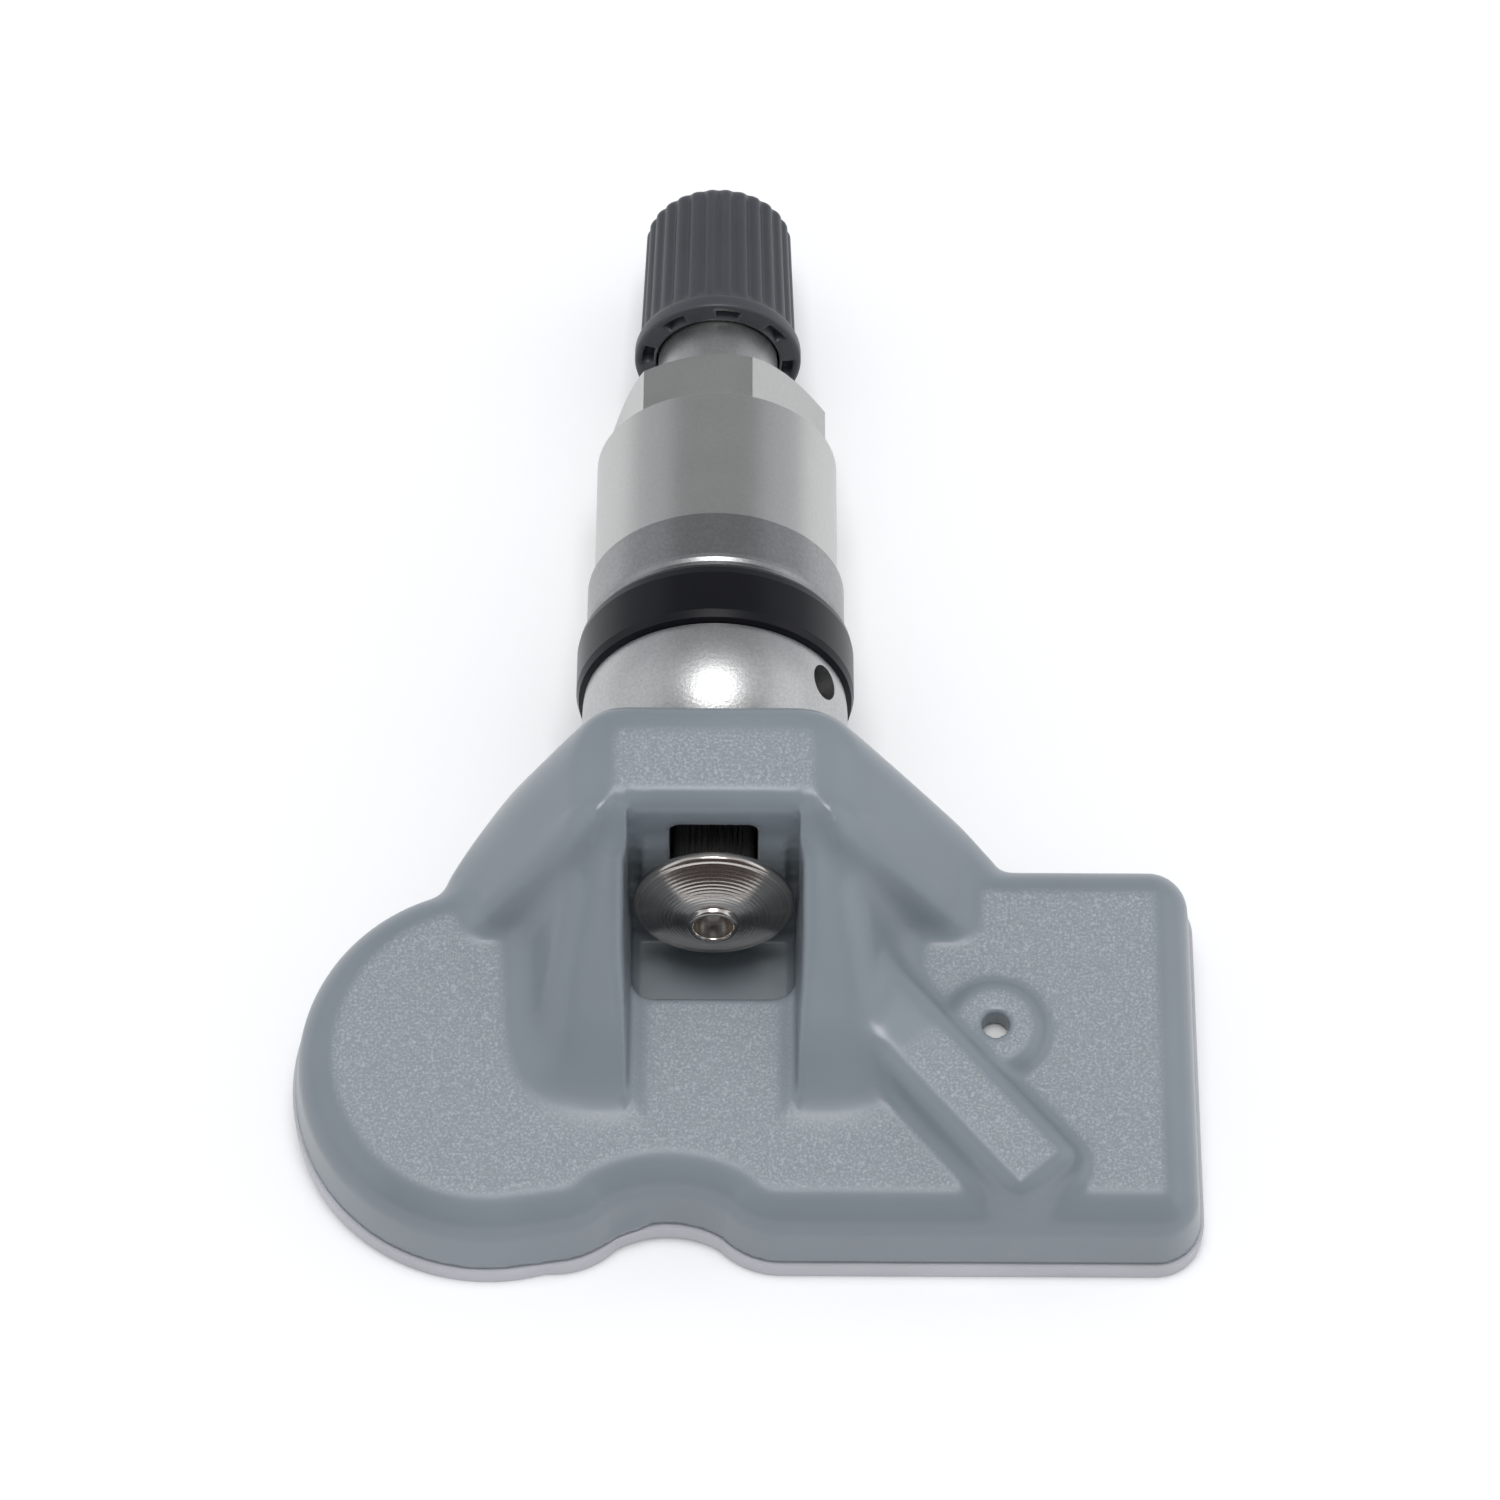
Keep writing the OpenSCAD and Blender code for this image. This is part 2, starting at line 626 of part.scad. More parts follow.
// Stem and ball in one turned piece, drilled through
module valve_stem() color("#b4b6b6") turned() {
    chamber = hex_v - 5;
    difference() {
        union() {
            intersection() {
                translate([0, 0, ball_v]) sphere(ball_radius);
                translate([-ball_radius, -ball_radius, -ball_rear])
                    cube([2 * ball_radius, 2 * ball_radius, ball_rear - grommet_lap]);
            }
            rotate_extrude() polygon([[0, -1], [stem_radius, -1], [stem_radius, hex_v - 1.2],
                [neck_radius, hex_v - 0.4], [neck_radius, stem_end_v - 0.5],
                [neck_radius - 0.5, stem_end_v], [0, stem_end_v]]);
        }
        translate([0, 0, -ball_rear - 1]) cylinder(r = thread_radius + turn_gap, h = thread_length + 1.5);
        translate([0, 0, -ball_rear]) cylinder(r = 1, h = stem_end_v);
        translate([0, 0, chamber]) cylinder(r = barrel_radius + 0.25, h = stem_end_v);
        translate([0, 0, core_shoulder_v]) cylinder(r = core_head_radius + 0.05, h = stem_end_v);
        rotate([0, 0, pin_hole_turn - 90]) translate([ball_radius - pin_hole_depth, 0, -pin_hole_back])
            rotate([0, 90, 0]) cylinder(r = pin_hole_radius, h = pin_hole_depth + 1);
    }
}

// Screw that pulls the ball into its seat: turned head, knurled shank, thread and air hole
module hollow_screw() color("#a39c90") turned() {
    difference() {
        union() {
            rotate_extrude() polygon([[0, lip_v], [lip_radius, lip_v], [lip_radius + 0.3, lip_v + 0.3],
                [head_rim, head_rim_v], [head_radius, head_edge_v + 0.1], [head_radius - 0.1, head_edge_v],
                [shank_radius + 0.1, head_v], [0, head_v]]);
            translate([0, 0, head_v - 0.2]) linear_extrude(-ball_rear - head_v + 0.2 - seat_gap)
                polygon([for (i = [0:2 * knurl_count - 1])
                    let (r = shank_radius - (i % 2) * knurl_depth, a = i * 180 / knurl_count)
                        [r * cos(a), r * sin(a)]]);
            translate([0, 0, -ball_rear - 1]) cylinder(r = thread_radius, h = thread_length + 1);
        }
        translate([0, 0, lip_v - 1]) cylinder(r = screw_hole, h = 4);
        translate([0, 0, lip_v - 1]) cylinder(r = 0.9, h = 40);
    }
}

// Rubber grommet: a wide flange inside the rim and a neck for the valve hole
module rubber_grommet() color("#17181b") turned() {
    from = seat_gap - grommet_lap;
    rotate_extrude() polygon([[stem_radius + seat_gap, from], [grommet_radius - 0.6, from],
        [grommet_radius - 0.15, from + 0.2], [grommet_radius, from + 0.7],
        [grommet_radius, grommet_length - 0.9], [grommet_radius - 0.1, grommet_length - 0.4],
        [grommet_radius - 0.38, grommet_length], [grommet_neck, grommet_length],
        [grommet_neck, grommet_length + 1.5], [stem_radius + seat_gap, grommet_length + 1.5]]);
}

module thrust_washer() color("#6f7376") turned() {
    from = grommet_length + seat_gap;
    recess = grommet_length + 1.5 + seat_gap;
    rotate_extrude() polygon(concat(
        [[grommet_neck + seat_gap, from], [washer_radius - 1, from]],
        [for (a = [-75:15:0]) [washer_radius - 1 + cos(a), from + 1 + sin(a)]],
        [[washer_radius, nut_v - 0.15], [washer_radius - 0.15, nut_v],
            [stem_radius + seat_gap, nut_v], [stem_radius + seat_gap, recess],
            [grommet_neck + seat_gap, recess]]));
}

// Collar nut: round collar, hexagon with turned corners
module collar_nut() color("#a7a8a8") turned() {
    from = nut_v + seat_gap;
    corner = hex_flats / 2 / cos(30);
    difference() {
        union() {
            rotate_extrude() polygon([[0, from], [nut_radius - 0.2, from], [nut_radius, from + 0.2],
                [nut_radius, hex_v - nut_chamfer], [nut_radius - nut_chamfer, hex_v], [0, hex_v]]);
            intersection() {
                rotate([0, 0, hex_turn]) translate([0, 0, from])
                    cylinder(r = corner, h = hex_end_v - from, $fn = 6);
                rotate_extrude() polygon([[0, from], [corner + 0.2, from], [corner + 0.2, hex_end_v - 1],
                    [hex_flats / 2 - 0.2, hex_end_v], [0, hex_end_v]]);
            }
        }
        translate([0, 0, nut_v]) cylinder(r = stem_radius + turn_gap, h = nut_collar - 0.3);
        translate([0, 0, nut_v]) cylinder(r = neck_radius + turn_gap, h = nut_collar + hex_length + 1);
    }
}

// Valve cap: smooth flange, grooved body, notched mouth
module valve_cap() color("#4b4e53") turned() {
    crown = 0.9;
    top_radius = cap_radius - cap_taper;
    body_v = cap_v + flange_length;
    lean = atan2(cap_taper, cap_length - flange_length - crown);
    difference() {
        rotate_extrude() polygon(concat(
            [[0, cap_v], [flange_radius - 0.15, cap_v], [flange_radius, cap_v + 0.15],
                [flange_radius, body_v - 0.2], [cap_radius, body_v]],
            [for (a = [0:15:90]) [top_radius - crown + crown * cos(a), cap_end_v - crown + crown * sin(a)]],
            [[0, cap_end_v]]));
        for (i = [0:flute_count - 1]) rotate([0, 0, i * 360 / flute_count])
            translate([cap_radius - flute_depth, 0, body_v + 0.3]) rotate([0, -lean, 0])
                linear_extrude(cap_length) polygon([[0, -0.12], [0.6, -0.42], [0.6, 0.42], [0, 0.12]]);
        translate([0, 0, cap_v - 1]) cylinder(r = neck_radius + 0.15, h = cap_length + 1 - cap_roof);
        for (i = [0:notch_count / 2 - 1]) rotate([0, 0, (i + 0.5) * 360 / notch_count])
            translate([0.5 - flange_radius, -0.6, cap_v - 1]) cube([2 * flange_radius - 1, 1.2, 1.8]);
    }
}

// Seal between the cap and the end of the stem
module cap_seal() color("#1c1d20") turned()
    ring(1.1, neck_radius - 0.1, stem_end_v + seat_gap, cap_end_v - cap_roof - seat_gap);

// Core barrel with a wider threaded head
module core_body() color("#c6a95a") turned() {
    head_from = core_shoulder_v + 1.7;
    top = stem_end_v - 1.6;
    difference() {
        rotate_extrude() polygon([[0, core_inner_v], [barrel_radius - 0.3, core_inner_v],
            [barrel_radius, core_inner_v + 0.4], [barrel_radius, head_from],
            [core_head_radius, head_from], [core_head_radius, top], [0, top]]);
        translate([0, 0, core_inner_v - 1]) cylinder(r = core_pin_radius + 0.15, h = 20);
        translate([0, 0, core_inner_v + 1.5]) cylinder(r = 1.15, h = 20);
    }
}

module core_gasket() color("#b3402f") turned()
    ring(barrel_radius + seat_gap, core_head_radius, core_shoulder_v + seat_gap,
        core_shoulder_v + 1.7 - seat_gap);

// Pin with the collar that its spring pushes on
module core_pin() color("#c9b26a") turned() {
    top = stem_end_v - 0.5;
    bottom = core_inner_v - 1.2;
    translate([0, 0, bottom]) cylinder(r = core_pin_radius, h = top - bottom);
    translate([0, 0, spring_to + piece_gap]) cylinder(r = 1.05, h = 0.4);
    translate([0, 0, bottom]) cylinder(r = 1.1, h = 0.2);
    translate([0, 0, top - 0.4]) cylinder(r = 0.7, h = 0.4);
}

module core_seal() color("#1c1d20") turned()
    ring(core_pin_radius + piece_gap, 1.25, core_inner_v - 1 + piece_gap, core_inner_v - 0.05);

// A coil swept along a helix: a ring of points at each step, joined by quads
function coil_points(r, wire, turns, from, to, steps, sides) = [
    for (i = [0:steps], s = [0:sides - 1])
        let (a = i * 360 * turns / steps, b = s * 360 / sides, z = from + (to - from) * i / steps)
            [(r + wire * cos(b)) * cos(a), (r + wire * cos(b)) * sin(a), z + wire * sin(b)]];

function coil_faces(steps, sides) = concat(
    [[for (s = [0:sides - 1]) s]],
    [for (i = [0:steps - 1], s = [0:sides - 1])
        let (n = (s + 1) % sides) [i * sides + s, (i + 1) * sides + s, (i + 1) * sides + n, i * sides + n]],
    [[for (s = [sides - 1:-1:0]) steps * sides + s]]);

module core_spring() color("#c8cacd") turned() {
    steps = spring_turns * 14;
    polyhedron(coil_points(0.85, spring_wire, spring_turns, spring_from + spring_wire,
        spring_to - spring_wire, steps, 6), coil_faces(steps, 6));
}

housing_shell();
base_cover();
circuit_board();
battery_cell();
battery_tab_top();
battery_tab_bottom();
pressure_chip();
radio_chip();
crystal();
antenna_ferrite();
antenna_winding();
port_gasket();
vent_membrane();
valve_stem();
hollow_screw();
rubber_grommet();
thrust_washer();
collar_nut();
cap_seal();
valve_cap();
core_body();
core_gasket();
core_seal();
core_pin();
core_spring();
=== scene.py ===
import math
import bpy
import numpy as np
from mathutils import Matrix, Vector


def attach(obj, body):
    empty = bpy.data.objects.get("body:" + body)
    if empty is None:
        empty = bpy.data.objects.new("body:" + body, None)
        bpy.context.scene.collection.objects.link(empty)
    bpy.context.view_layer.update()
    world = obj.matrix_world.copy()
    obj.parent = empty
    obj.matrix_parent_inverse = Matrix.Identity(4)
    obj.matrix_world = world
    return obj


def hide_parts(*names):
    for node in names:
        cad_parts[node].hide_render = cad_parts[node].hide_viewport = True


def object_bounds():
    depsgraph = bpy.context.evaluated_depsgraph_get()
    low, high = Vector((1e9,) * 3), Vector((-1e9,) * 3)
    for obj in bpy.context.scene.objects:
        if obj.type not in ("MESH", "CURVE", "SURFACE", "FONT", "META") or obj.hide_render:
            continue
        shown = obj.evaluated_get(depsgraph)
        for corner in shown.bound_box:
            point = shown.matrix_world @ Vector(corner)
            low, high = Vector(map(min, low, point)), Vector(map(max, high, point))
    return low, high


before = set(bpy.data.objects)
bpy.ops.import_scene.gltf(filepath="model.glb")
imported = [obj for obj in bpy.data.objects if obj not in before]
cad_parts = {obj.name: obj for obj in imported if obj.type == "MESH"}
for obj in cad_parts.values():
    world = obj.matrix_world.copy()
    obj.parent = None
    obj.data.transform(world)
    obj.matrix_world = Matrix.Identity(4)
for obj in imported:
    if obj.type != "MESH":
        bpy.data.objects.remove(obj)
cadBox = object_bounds()
print("frame loaded:", len(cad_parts), "nodes")

# the two frames the sensor is drawn in, millimetres and degrees
pose = {
    "valveAngle": 11.4,       # between the valve and the base of the housing
    "pitch": 5.8887,          # the housing's rear stands up by this much as it lies
    "axisHeight": 5.6,        # valve axis above the base, at the ball's shoulder
    "seat": 4.1,              # from the ball's shoulder to the origin, along the valve
    "ballBack": 1.5,          # ball centre behind the shoulder
}
valveSlope = math.radians(pose["valveAngle"] - pose["pitch"])
pitchTurn = math.radians(pose["pitch"])
valveTurn = math.radians(pose["valveAngle"])


def housingToWorld(p):
    # shift the shoulder of the ball to the origin, then turn about X by the pitch, in metres
    shifted = p + np.array([0.0, -pose["seat"] * math.cos(valveTurn),
                            pose["seat"] * math.sin(valveTurn) - pose["axisHeight"]])
    c, s = math.cos(pitchTurn), math.sin(pitchTurn)
    return np.stack([shifted[:, 0], shifted[:, 1] * c - shifted[:, 2] * s,
                     shifted[:, 1] * s + shifted[:, 2] * c], 1) * 0.001


def valveToWorld(x, v, up):
    # v runs along the valve from the shoulder of the ball, up is square to it, in metres
    c, s = math.cos(valveSlope), math.sin(valveSlope)
    along = v - pose["seat"]
    return np.stack([x, along * c + up * s, -along * s + up * c], -1) * 0.001


# mesh helpers
def meshPiece(name, verts, faces, smooth=True):
    # verts is an array of points in metres, faces an array of quads or triangles
    mesh = bpy.data.meshes.new(name)
    faces = np.asarray(faces, np.int32)
    sides = faces.shape[1]
    mesh.vertices.add(len(verts))
    mesh.vertices.foreach_set("co", np.asarray(verts, np.float32).ravel())
    mesh.loops.add(faces.size)
    mesh.loops.foreach_set("vertex_index", faces.ravel())
    mesh.polygons.add(len(faces))
    mesh.polygons.foreach_set("loop_start", np.arange(0, faces.size, sides, dtype=np.int32))
    mesh.polygons.foreach_set("loop_total", np.full(len(faces), sides, np.int32))
    mesh.update(calc_edges=True)
    mesh.polygons.foreach_set("use_smooth", np.full(len(faces), smooth))
    mesh.validate()
    obj = bpy.data.objects.new(name, mesh)
    bpy.context.scene.collection.objects.link(obj)
    return obj


def wrappedPiece(name, radius, station, bodyName):
    # rows of (radius, station) carried round the valve's axis and closed on themselves;
    # both arrays are rows by steps, so a row may vary round the turn
    rows, steps = radius.shape
    turn = np.arange(steps) * 2 * math.pi / steps
    pts = valveToWorld(radius * np.cos(turn), station, radius * np.sin(turn)).reshape(-1, 3)
    i, j = np.meshgrid(np.arange(rows), np.arange(steps), indexing="ij")
    a, b = i * steps + j, i * steps + (j + 1) % steps
    c, d = ((i + 1) % rows) * steps + (j + 1) % steps, ((i + 1) % rows) * steps + j
    obj = meshPiece(name, pts, np.stack([a, b, c, d], -1).reshape(-1, 4))
    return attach(obj, bodyName)


# housing: one smooth body worked out as a distance field
housing = {
    "cell": 0.27,             # spacing of the sampling grid
    "coverThick": 1.5,        # the cover lies under this height
    "step": 0.15,             # shell edge inside the cover's edge
    "frontReach": 35.1,
    "lobe": (-13.2, -23.8, 11.8),
    "endRadius": 5.0,         # rounded ends beside the notch
    "notch": (-2.6, 6.7, 2.4),    # centre, half spacing of the ends, depth
    "right": (29.0, 0.1, 10.7, 2.9),   # reach, lean, rear edge, corner radius
    "lobeTop": 7.2,
    "edge": 2.3,              # roundness of the lobes' upper edge
    "draft": 0.12,            # lean of the sides, per millimetre of height
    "blockTop": 15.47,
    "blockRound": 1.5,
    # rounded corners of the block's top: x, rear, front, height, radius
    "blockBall": (6.3, -6.9, -11.54, 13.27, 2.2),
    "blockFoot": [(17.2, -10.7), (11.9, -5.1), (8.9, -2.9), (-8.9, -2.9), (-11.75, -5.1),
                  (-16.25, -12.0), (-16.25, -17.1), (17.2, -17.1)],
    "footHeight": 5.2,        # height of that line
    "channelHalf": 4.9,
    # a leg is what lies inside these planes, each given by three points; the other is its mirror image
    "legPlanes": {
        "ridge": ((5.2, -13.0, 14.1), (8, -13.0, 14.1), (6.5, -25.6, 8.7)),
        "outer": ((7.2, -12.5, 14.67), (11.3, -19.5, 7.2), (10.8, -27.0, 7.2)),
        "front": ((5, -27.3, 7.2), (9, -27.3, 7.2), (6.5, -25.2, 9.4)),
        "corner": ((11.4, -24.8, 7.2), (9.4, -27.2, 7.2), (8.4, -24.9, 9.6)),
        "back": ((5, -12.2, 15.4), (8.5, -13.4, 12.0), (12, -15.0, 7.0)),
    },
    "legInside": (8, -18, 6),    # a point inside the leg
    "legTop": 14.67,          # also the height of the outer plane's first point
    "wall": -13.4,            # front face of the clamp wall, along the valve
    "wallRound": 1.4,
    "pocket": (-20.4, 2.3, 1.3),  # front edge, floor, corner radius
    "padRadius": 12.4,
    "ball": 8.15,
    "slot": (2.6, -5.2, 4.8, 0.6),    # half width, lower and upper end, corner radius
    "vent": (16.6, -22.4, 0.8, 2.9, 0.9),    # centre, hole, radius and height of the boss
    "bump": (14.7, -27.0, -49.0, 16.0, 6.1, 2.2),    # centre, turn, length, width, height
    # hollows inside, as in the solid
    "roof": 5.95,
    "cellRoom": (-13.9, -24.0, 8.35),    # centre, radius
    "boardRoom": (17.0, -22.9, 10.25, 10.55),    # centre, half sizes
    "bridgeRoom": (-3.5, -26.5, 10.5, 4.95),
    "coilRoom": (5.3, 1.5, 8.6),    # half sizes, roof
    "filmRoom": (1.75, 6.2),    # radius, roof
    # where grain shows: least upward share of the slope, span and fall; then lowest height and span
    "grainLevel": (0.955, 0.043, 1.5),
    "grainHeight": (6.9, 0.2),
    "grainBlock": (-6.6, 6.1, 0.7),    # rear end, half width, fade
    # smooth rear end of the bump: half width, middle height, half height, where it ends, fade
    "bumpEnd": (3.2, 9.3, 0.7, -4.6, 1.4),
    "sampled": ((-25.4, -35.6), (29.3, -2.4, 16.2)),    # grid's low x and y, and its high corner
}


def arc(cx, cy, r, a0, a1, n=24):
    # n points of an arc round a centre, from one angle to another in degrees
    t = np.radians(np.linspace(a0, a1, n))
    return np.stack([cx + r * np.cos(t), cy + r * np.sin(t)], 1)


def lobeOutline(grow):
    # the plan of the lobes as one closed line: round lobe, notch, square lobe, then under the block
    h = housing
    lx, ly, lr = h["lobe"]
    er = h["endRadius"] + grow
    nx, half, depth = h["notch"]
    endY = h["endRadius"] - h["frontReach"]
    reach, lean, rear, corner = h["right"]
    bightR = (half ** 2 + (h["endRadius"] - depth) ** 2 - h["endRadius"] ** 2) / depth / 2 + 0.55
    bightY = depth - h["frontReach"] - bightR
    br = bightR - grow
    # where the notch's curve meets the rounded ends
    gap = np.hypot(half, endY - bightY)
    a = (gap ** 2 + er ** 2 - br ** 2) / (2 * gap)
    side = math.degrees(math.acos(min(1.0, a / er)))
    down = math.degrees(math.atan2(bightY - endY, half))
    meet = down + side if side < 90 else down
    bite = math.degrees(math.asin(min(1.0, (half - er * math.cos(math.radians(meet))) / br)))
    # the line that touches both the round lobe and the left end
    apart = np.array([nx - half - lx, endY - ly])
    touch = math.degrees(math.atan2(apart[1], apart[0])
                         - math.acos((lr + grow - er) / np.hypot(*apart)))
    parts = [arc(lx, ly, lr + grow, 100, 360 + touch, 90),
             arc(nx - half, endY, er, touch, meet, 20),
             arc(nx, bightY, br, 90 + bite, 90 - bite, 30),
             arc(nx + half, endY, er, 180 - meet, 270, 20),
             arc(reach - corner, corner - h["frontReach"], corner + grow, -90, -2, 16),
             arc(reach - lean - corner, -rear - corner, corner + grow, -2, 90, 16),
             np.array([[17.0, -rear + grow], [7.0, -5.0], [-7.0, -5.0]])]
    return np.concatenate(parts)


def planDistance(points, line):
    # signed distance from points to a closed line: nearest segment, negative inside by crossings
    best = np.full(len(points), 1e9)
    inside = np.zeros(len(points), bool)
    nxt = np.roll(line, -1, 0)
    for p, q in zip(line, nxt):
        e = q - p
        length = e @ e
        if length < 1e-12:
            continue
        w = points - p
        t = np.clip((w @ e) / length, 0, 1)
        best = np.minimum(best, ((w - t[:, None] * e) ** 2).sum(1))
        cross = (p[1] > points[:, 1]) != (q[1] > points[:, 1])
        with np.errstate(divide="ignore", invalid="ignore"):
            atX = (q[0] - p[0]) * (points[:, 1] - p[1]) / (q[1] - p[1]) + p[0]
        inside ^= cross & (points[:, 0] < atX)
    return np.where(inside, -1, 1) * np.sqrt(best)


def joined(a, b, k):
    # smooth union: the smaller of both, pulled down where they are within k of each other
    h = np.maximum(k - np.abs(a - b), 0) / k
    return np.minimum(a, b) - h * h * k * 0.25


def cutBy(a, b, k):
    # a without b, with a rounded rim
    return -joined(-a, b, k)


def met(a, b, r):
    # rounded intersection of two half spaces with radius r
    return (np.minimum(np.maximum(a + r, b + r), 0)
            + np.hypot(np.maximum(a + r, 0), np.maximum(b + r, 0)) - r)


def metAll(planes, k):
    # smooth largest of many planes
    out = planes[0]
    for p in planes[1:]:
        out = -joined(-out, -p, k)
    return out


def planeThrough(x, y, z, a, b, c, inside):
    # distance above the plane through three points, negative on the side of the inside point
    a, b, c, inside = (np.array(p, float) for p in (a, b, c, inside))
    n = np.cross(b - a, c - a)
    n /= np.linalg.norm(n)
    if (inside - a) @ n > 0:
        n = -n
    return (x - a[0]) * n[0] + (y - a[1]) * n[1] + (z - a[2]) * n[2]


def planeTouching(x, y, z, a, b, ball, radius):
    # distance above the plane that holds the line a b and touches a ball that lies inside it
    a, b, ball = (np.array(p, float) for p in (a, b, ball))
    line = (b - a) / np.linalg.norm(b - a)
    off = ball - a
    off -= line * (off @ line)
    far = np.linalg.norm(off)
    side = np.cross(line, off / far)
    tilt = math.asin(radius / far)
    n = max((-off / far * math.sin(tilt) + sign * side * math.cos(tilt) for sign in (-1, 1)),
            key=lambda normal: normal[2])
    return (x - a[0]) * n[0] + (y - a[1]) * n[1] + (z - a[2]) * n[2]


def roundBox2(x, y, hx, hy, r):
    # distance to a rectangle with rounded corners, seen from above
    qx, qy = np.abs(x) - hx + r, np.abs(y) - hy + r
    return np.hypot(np.maximum(qx, 0), np.maximum(qy, 0)) + np.minimum(np.maximum(qx, qy), 0) - r


def housingField(x, y, z, plan):
    # the signed distance to the shell's surface, negative inside, at points of the housing's own frame;
    # plan is the distance to the outline. Forms are added by a rounded minimum and cut by a rounded
    # maximum with the negative of what is taken away
    h = housing
    base = h["coverThick"]
    lean = (z - base) * h["draft"]
    field = met(plan + lean, z - h["lobeTop"], h["edge"])
    # places in the valve's own frame: along it from the ball's shoulder, and up from its axis
    along = y * math.cos(valveTurn) - (z - pose["axisHeight"]) * math.sin(valveTurn)
    up = y * math.sin(valveTurn) + (z - pose["axisHeight"]) * math.cos(valveTurn)
    ahead = along - h["wall"]
    # clamp block: planes from the bent line of its foot up to the rounded corners of its top
    top = h["blockTop"]
    cornerX, rearY, frontY, cornerZ, cornerR = h["blockBall"]
    footLine = h["blockFoot"]
    slopes, walls = [], []
    for (x0, y0), (x1, y1) in zip(footLine, footLine[1:] + footLine[:1]):
        sideX = 0.0 if x0 * x1 < 0 else math.copysign(cornerX, x0)
        sideY = frontY if min(y0, y1) < -16 else rearY
        slopes.append(planeTouching(x, y, z, (x0, y0, h["footHeight"]), (x1, y1, h["footHeight"]),
                                    (sideX, sideY, cornerZ), cornerR))
        walls.append(planeThrough(x, y, z, (x0, y0, 0), (x1, y1, 0), (x0, y0, 9), (0, -9, 5)))
    block = metAll(slopes, 1.1)
    block = metAll([block, z - top], h["blockRound"])
    block = metAll([block, metAll(walls, 0.5)], 0.6)
    # the clamp wall's upper edge is rounded between the legs
    beside = np.clip((np.abs(x) - 5.4) / 3.4, 0, 1)
    block = np.maximum(block, met(-ahead, z - top, h["wallRound"]) - 5.0 * beside ** 2)
    field = joined(field, block, 1.0)
    # legs: a sloping ridge, an outer slope and a rounded front end
    for side in (-1, 1):
        xs = x * side
        planes = {name: planeThrough(xs, y, z, *points, h["legInside"])
                  for name, points in h["legPlanes"].items()}
        leg = metAll([planes[name] for name in ("ridge", "outer", "front", "corner")], 1.5)
        leg = np.maximum(np.maximum(np.maximum(leg, h["channelHalf"] - 0.05 - xs), base + 1 - z),
                         np.maximum(planes["back"], z - h["legTop"]))
        field = joined(field, leg, 1.6)
    # antenna bump: a leaning rounded bar set across the square lobe
    bx, by, turn, length, width, rise = h["bump"]
    c, s = math.cos(math.radians(turn)), math.sin(math.radians(turn))
    u, w = (x - bx) * c + (y - by) * s, -(x - bx) * s + (y - by) * c
    flank = (roundBox2(u + 1.3, w, length / 2 + 1.3, width / 2, 1.5)
             + np.maximum(z - h["lobeTop"], 0) * 0.42)
    bump = met(flank, z - h["lobeTop"] - rise, 0.9)
    bump = metAll([bump, plan + lean + 0.05], 1.4)
    bump = np.maximum(bump, 3.5 - z)
    field = joined(field, bump, 0.9)
    # vent boss
    vx, vy, hole, bossR, bossRise = h["vent"]
    fromVent = np.hypot(x - vx, y - vy)
    boss = np.maximum(met(fromVent - bossR, z - h["lobeTop"] - bossRise, 0.85), 3.5 - z)
    field = joined(field, boss, 0.8)
    # the room in front of the clamp wall, and the pocket in its floor
    room = np.maximum(np.maximum(np.abs(x) - h["channelHalf"], h["lobeTop"] + 0.3 - z),
                      -met(-ahead, z - top, h["wallRound"]))
    # its edges are rounder where the legs' tops meet it
    high = np.clip((z - 8.6) / 2.5, 0, 1) * np.clip(-ahead - 1.0, 0, 1)
    field = cutBy(field, room, 0.35 + 1.1 * high)
    pocketY, floor, pr = h["pocket"]
    well = roundBox2(x, y - pocketY - 7.0, h["channelHalf"], 7.0, pr)
    well = met(well, floor - z, 0.5)
    field = cutBy(field, np.maximum(well, ahead), 0.35)
    # the curved pad that the screw head slides on
    fromBall = np.hypot(along + pose["ballBack"], up)
    pad = np.maximum(np.maximum(fromBall - h["padRadius"], np.abs(x) - h["channelHalf"] + 0.6),
                     h["wall"] - 0.6 - along)
    pad = np.maximum(pad, along - h["wall"] - 1.0)
    field = joined(field, pad, 0.12)
    # ball seat and the slot for the screw
    seat = np.sqrt((along + pose["ballBack"]) ** 2 + up ** 2 + x ** 2) - h["ball"]
    field = cutBy(field, seat, 0.25)
    half, lower, upper, sr = h["slot"]
    slot = np.maximum(roundBox2(x, up - (lower + upper) / 2, half, (upper - lower) / 2, sr),
                      np.maximum(along + 6.0, h["wall"] - 1.5 - along))
    field = cutBy(field, slot, 0.2)
    # hollows for the cell and the board, the vent hole, the open underside
    roof = z - h["roof"]
    cellX, cellY, cellR = h["cellRoom"]
    cell = met(np.hypot(x - cellX, y - cellY) - cellR, roof, 0.4)
    midX, midY, halfX, halfY = h["boardRoom"]
    board = met(roundBox2(x - midX, y - midY, halfX, halfY, 1.0), roof, 0.4)
    midX, midY, halfX, halfY = h["bridgeRoom"]
    bridge = met(roundBox2(x - midX, y - midY, halfX, halfY, 0.6), roof, 0.4)
    halfX, halfY, coilTop = h["coilRoom"]
    coil = met(roundBox2(u, w, halfX, halfY, 0.4), z - coilTop, 0.3)
    film = np.maximum(fromVent - h["filmRoom"][0], z - h["filmRoom"][1])
    for gap in (cell, board, bridge, coil, film):
        field = np.maximum(field, -gap)
    field = cutBy(field, np.maximum(fromVent - hole, 5.0 - z), 0.18)
    return np.maximum(field, base - z)


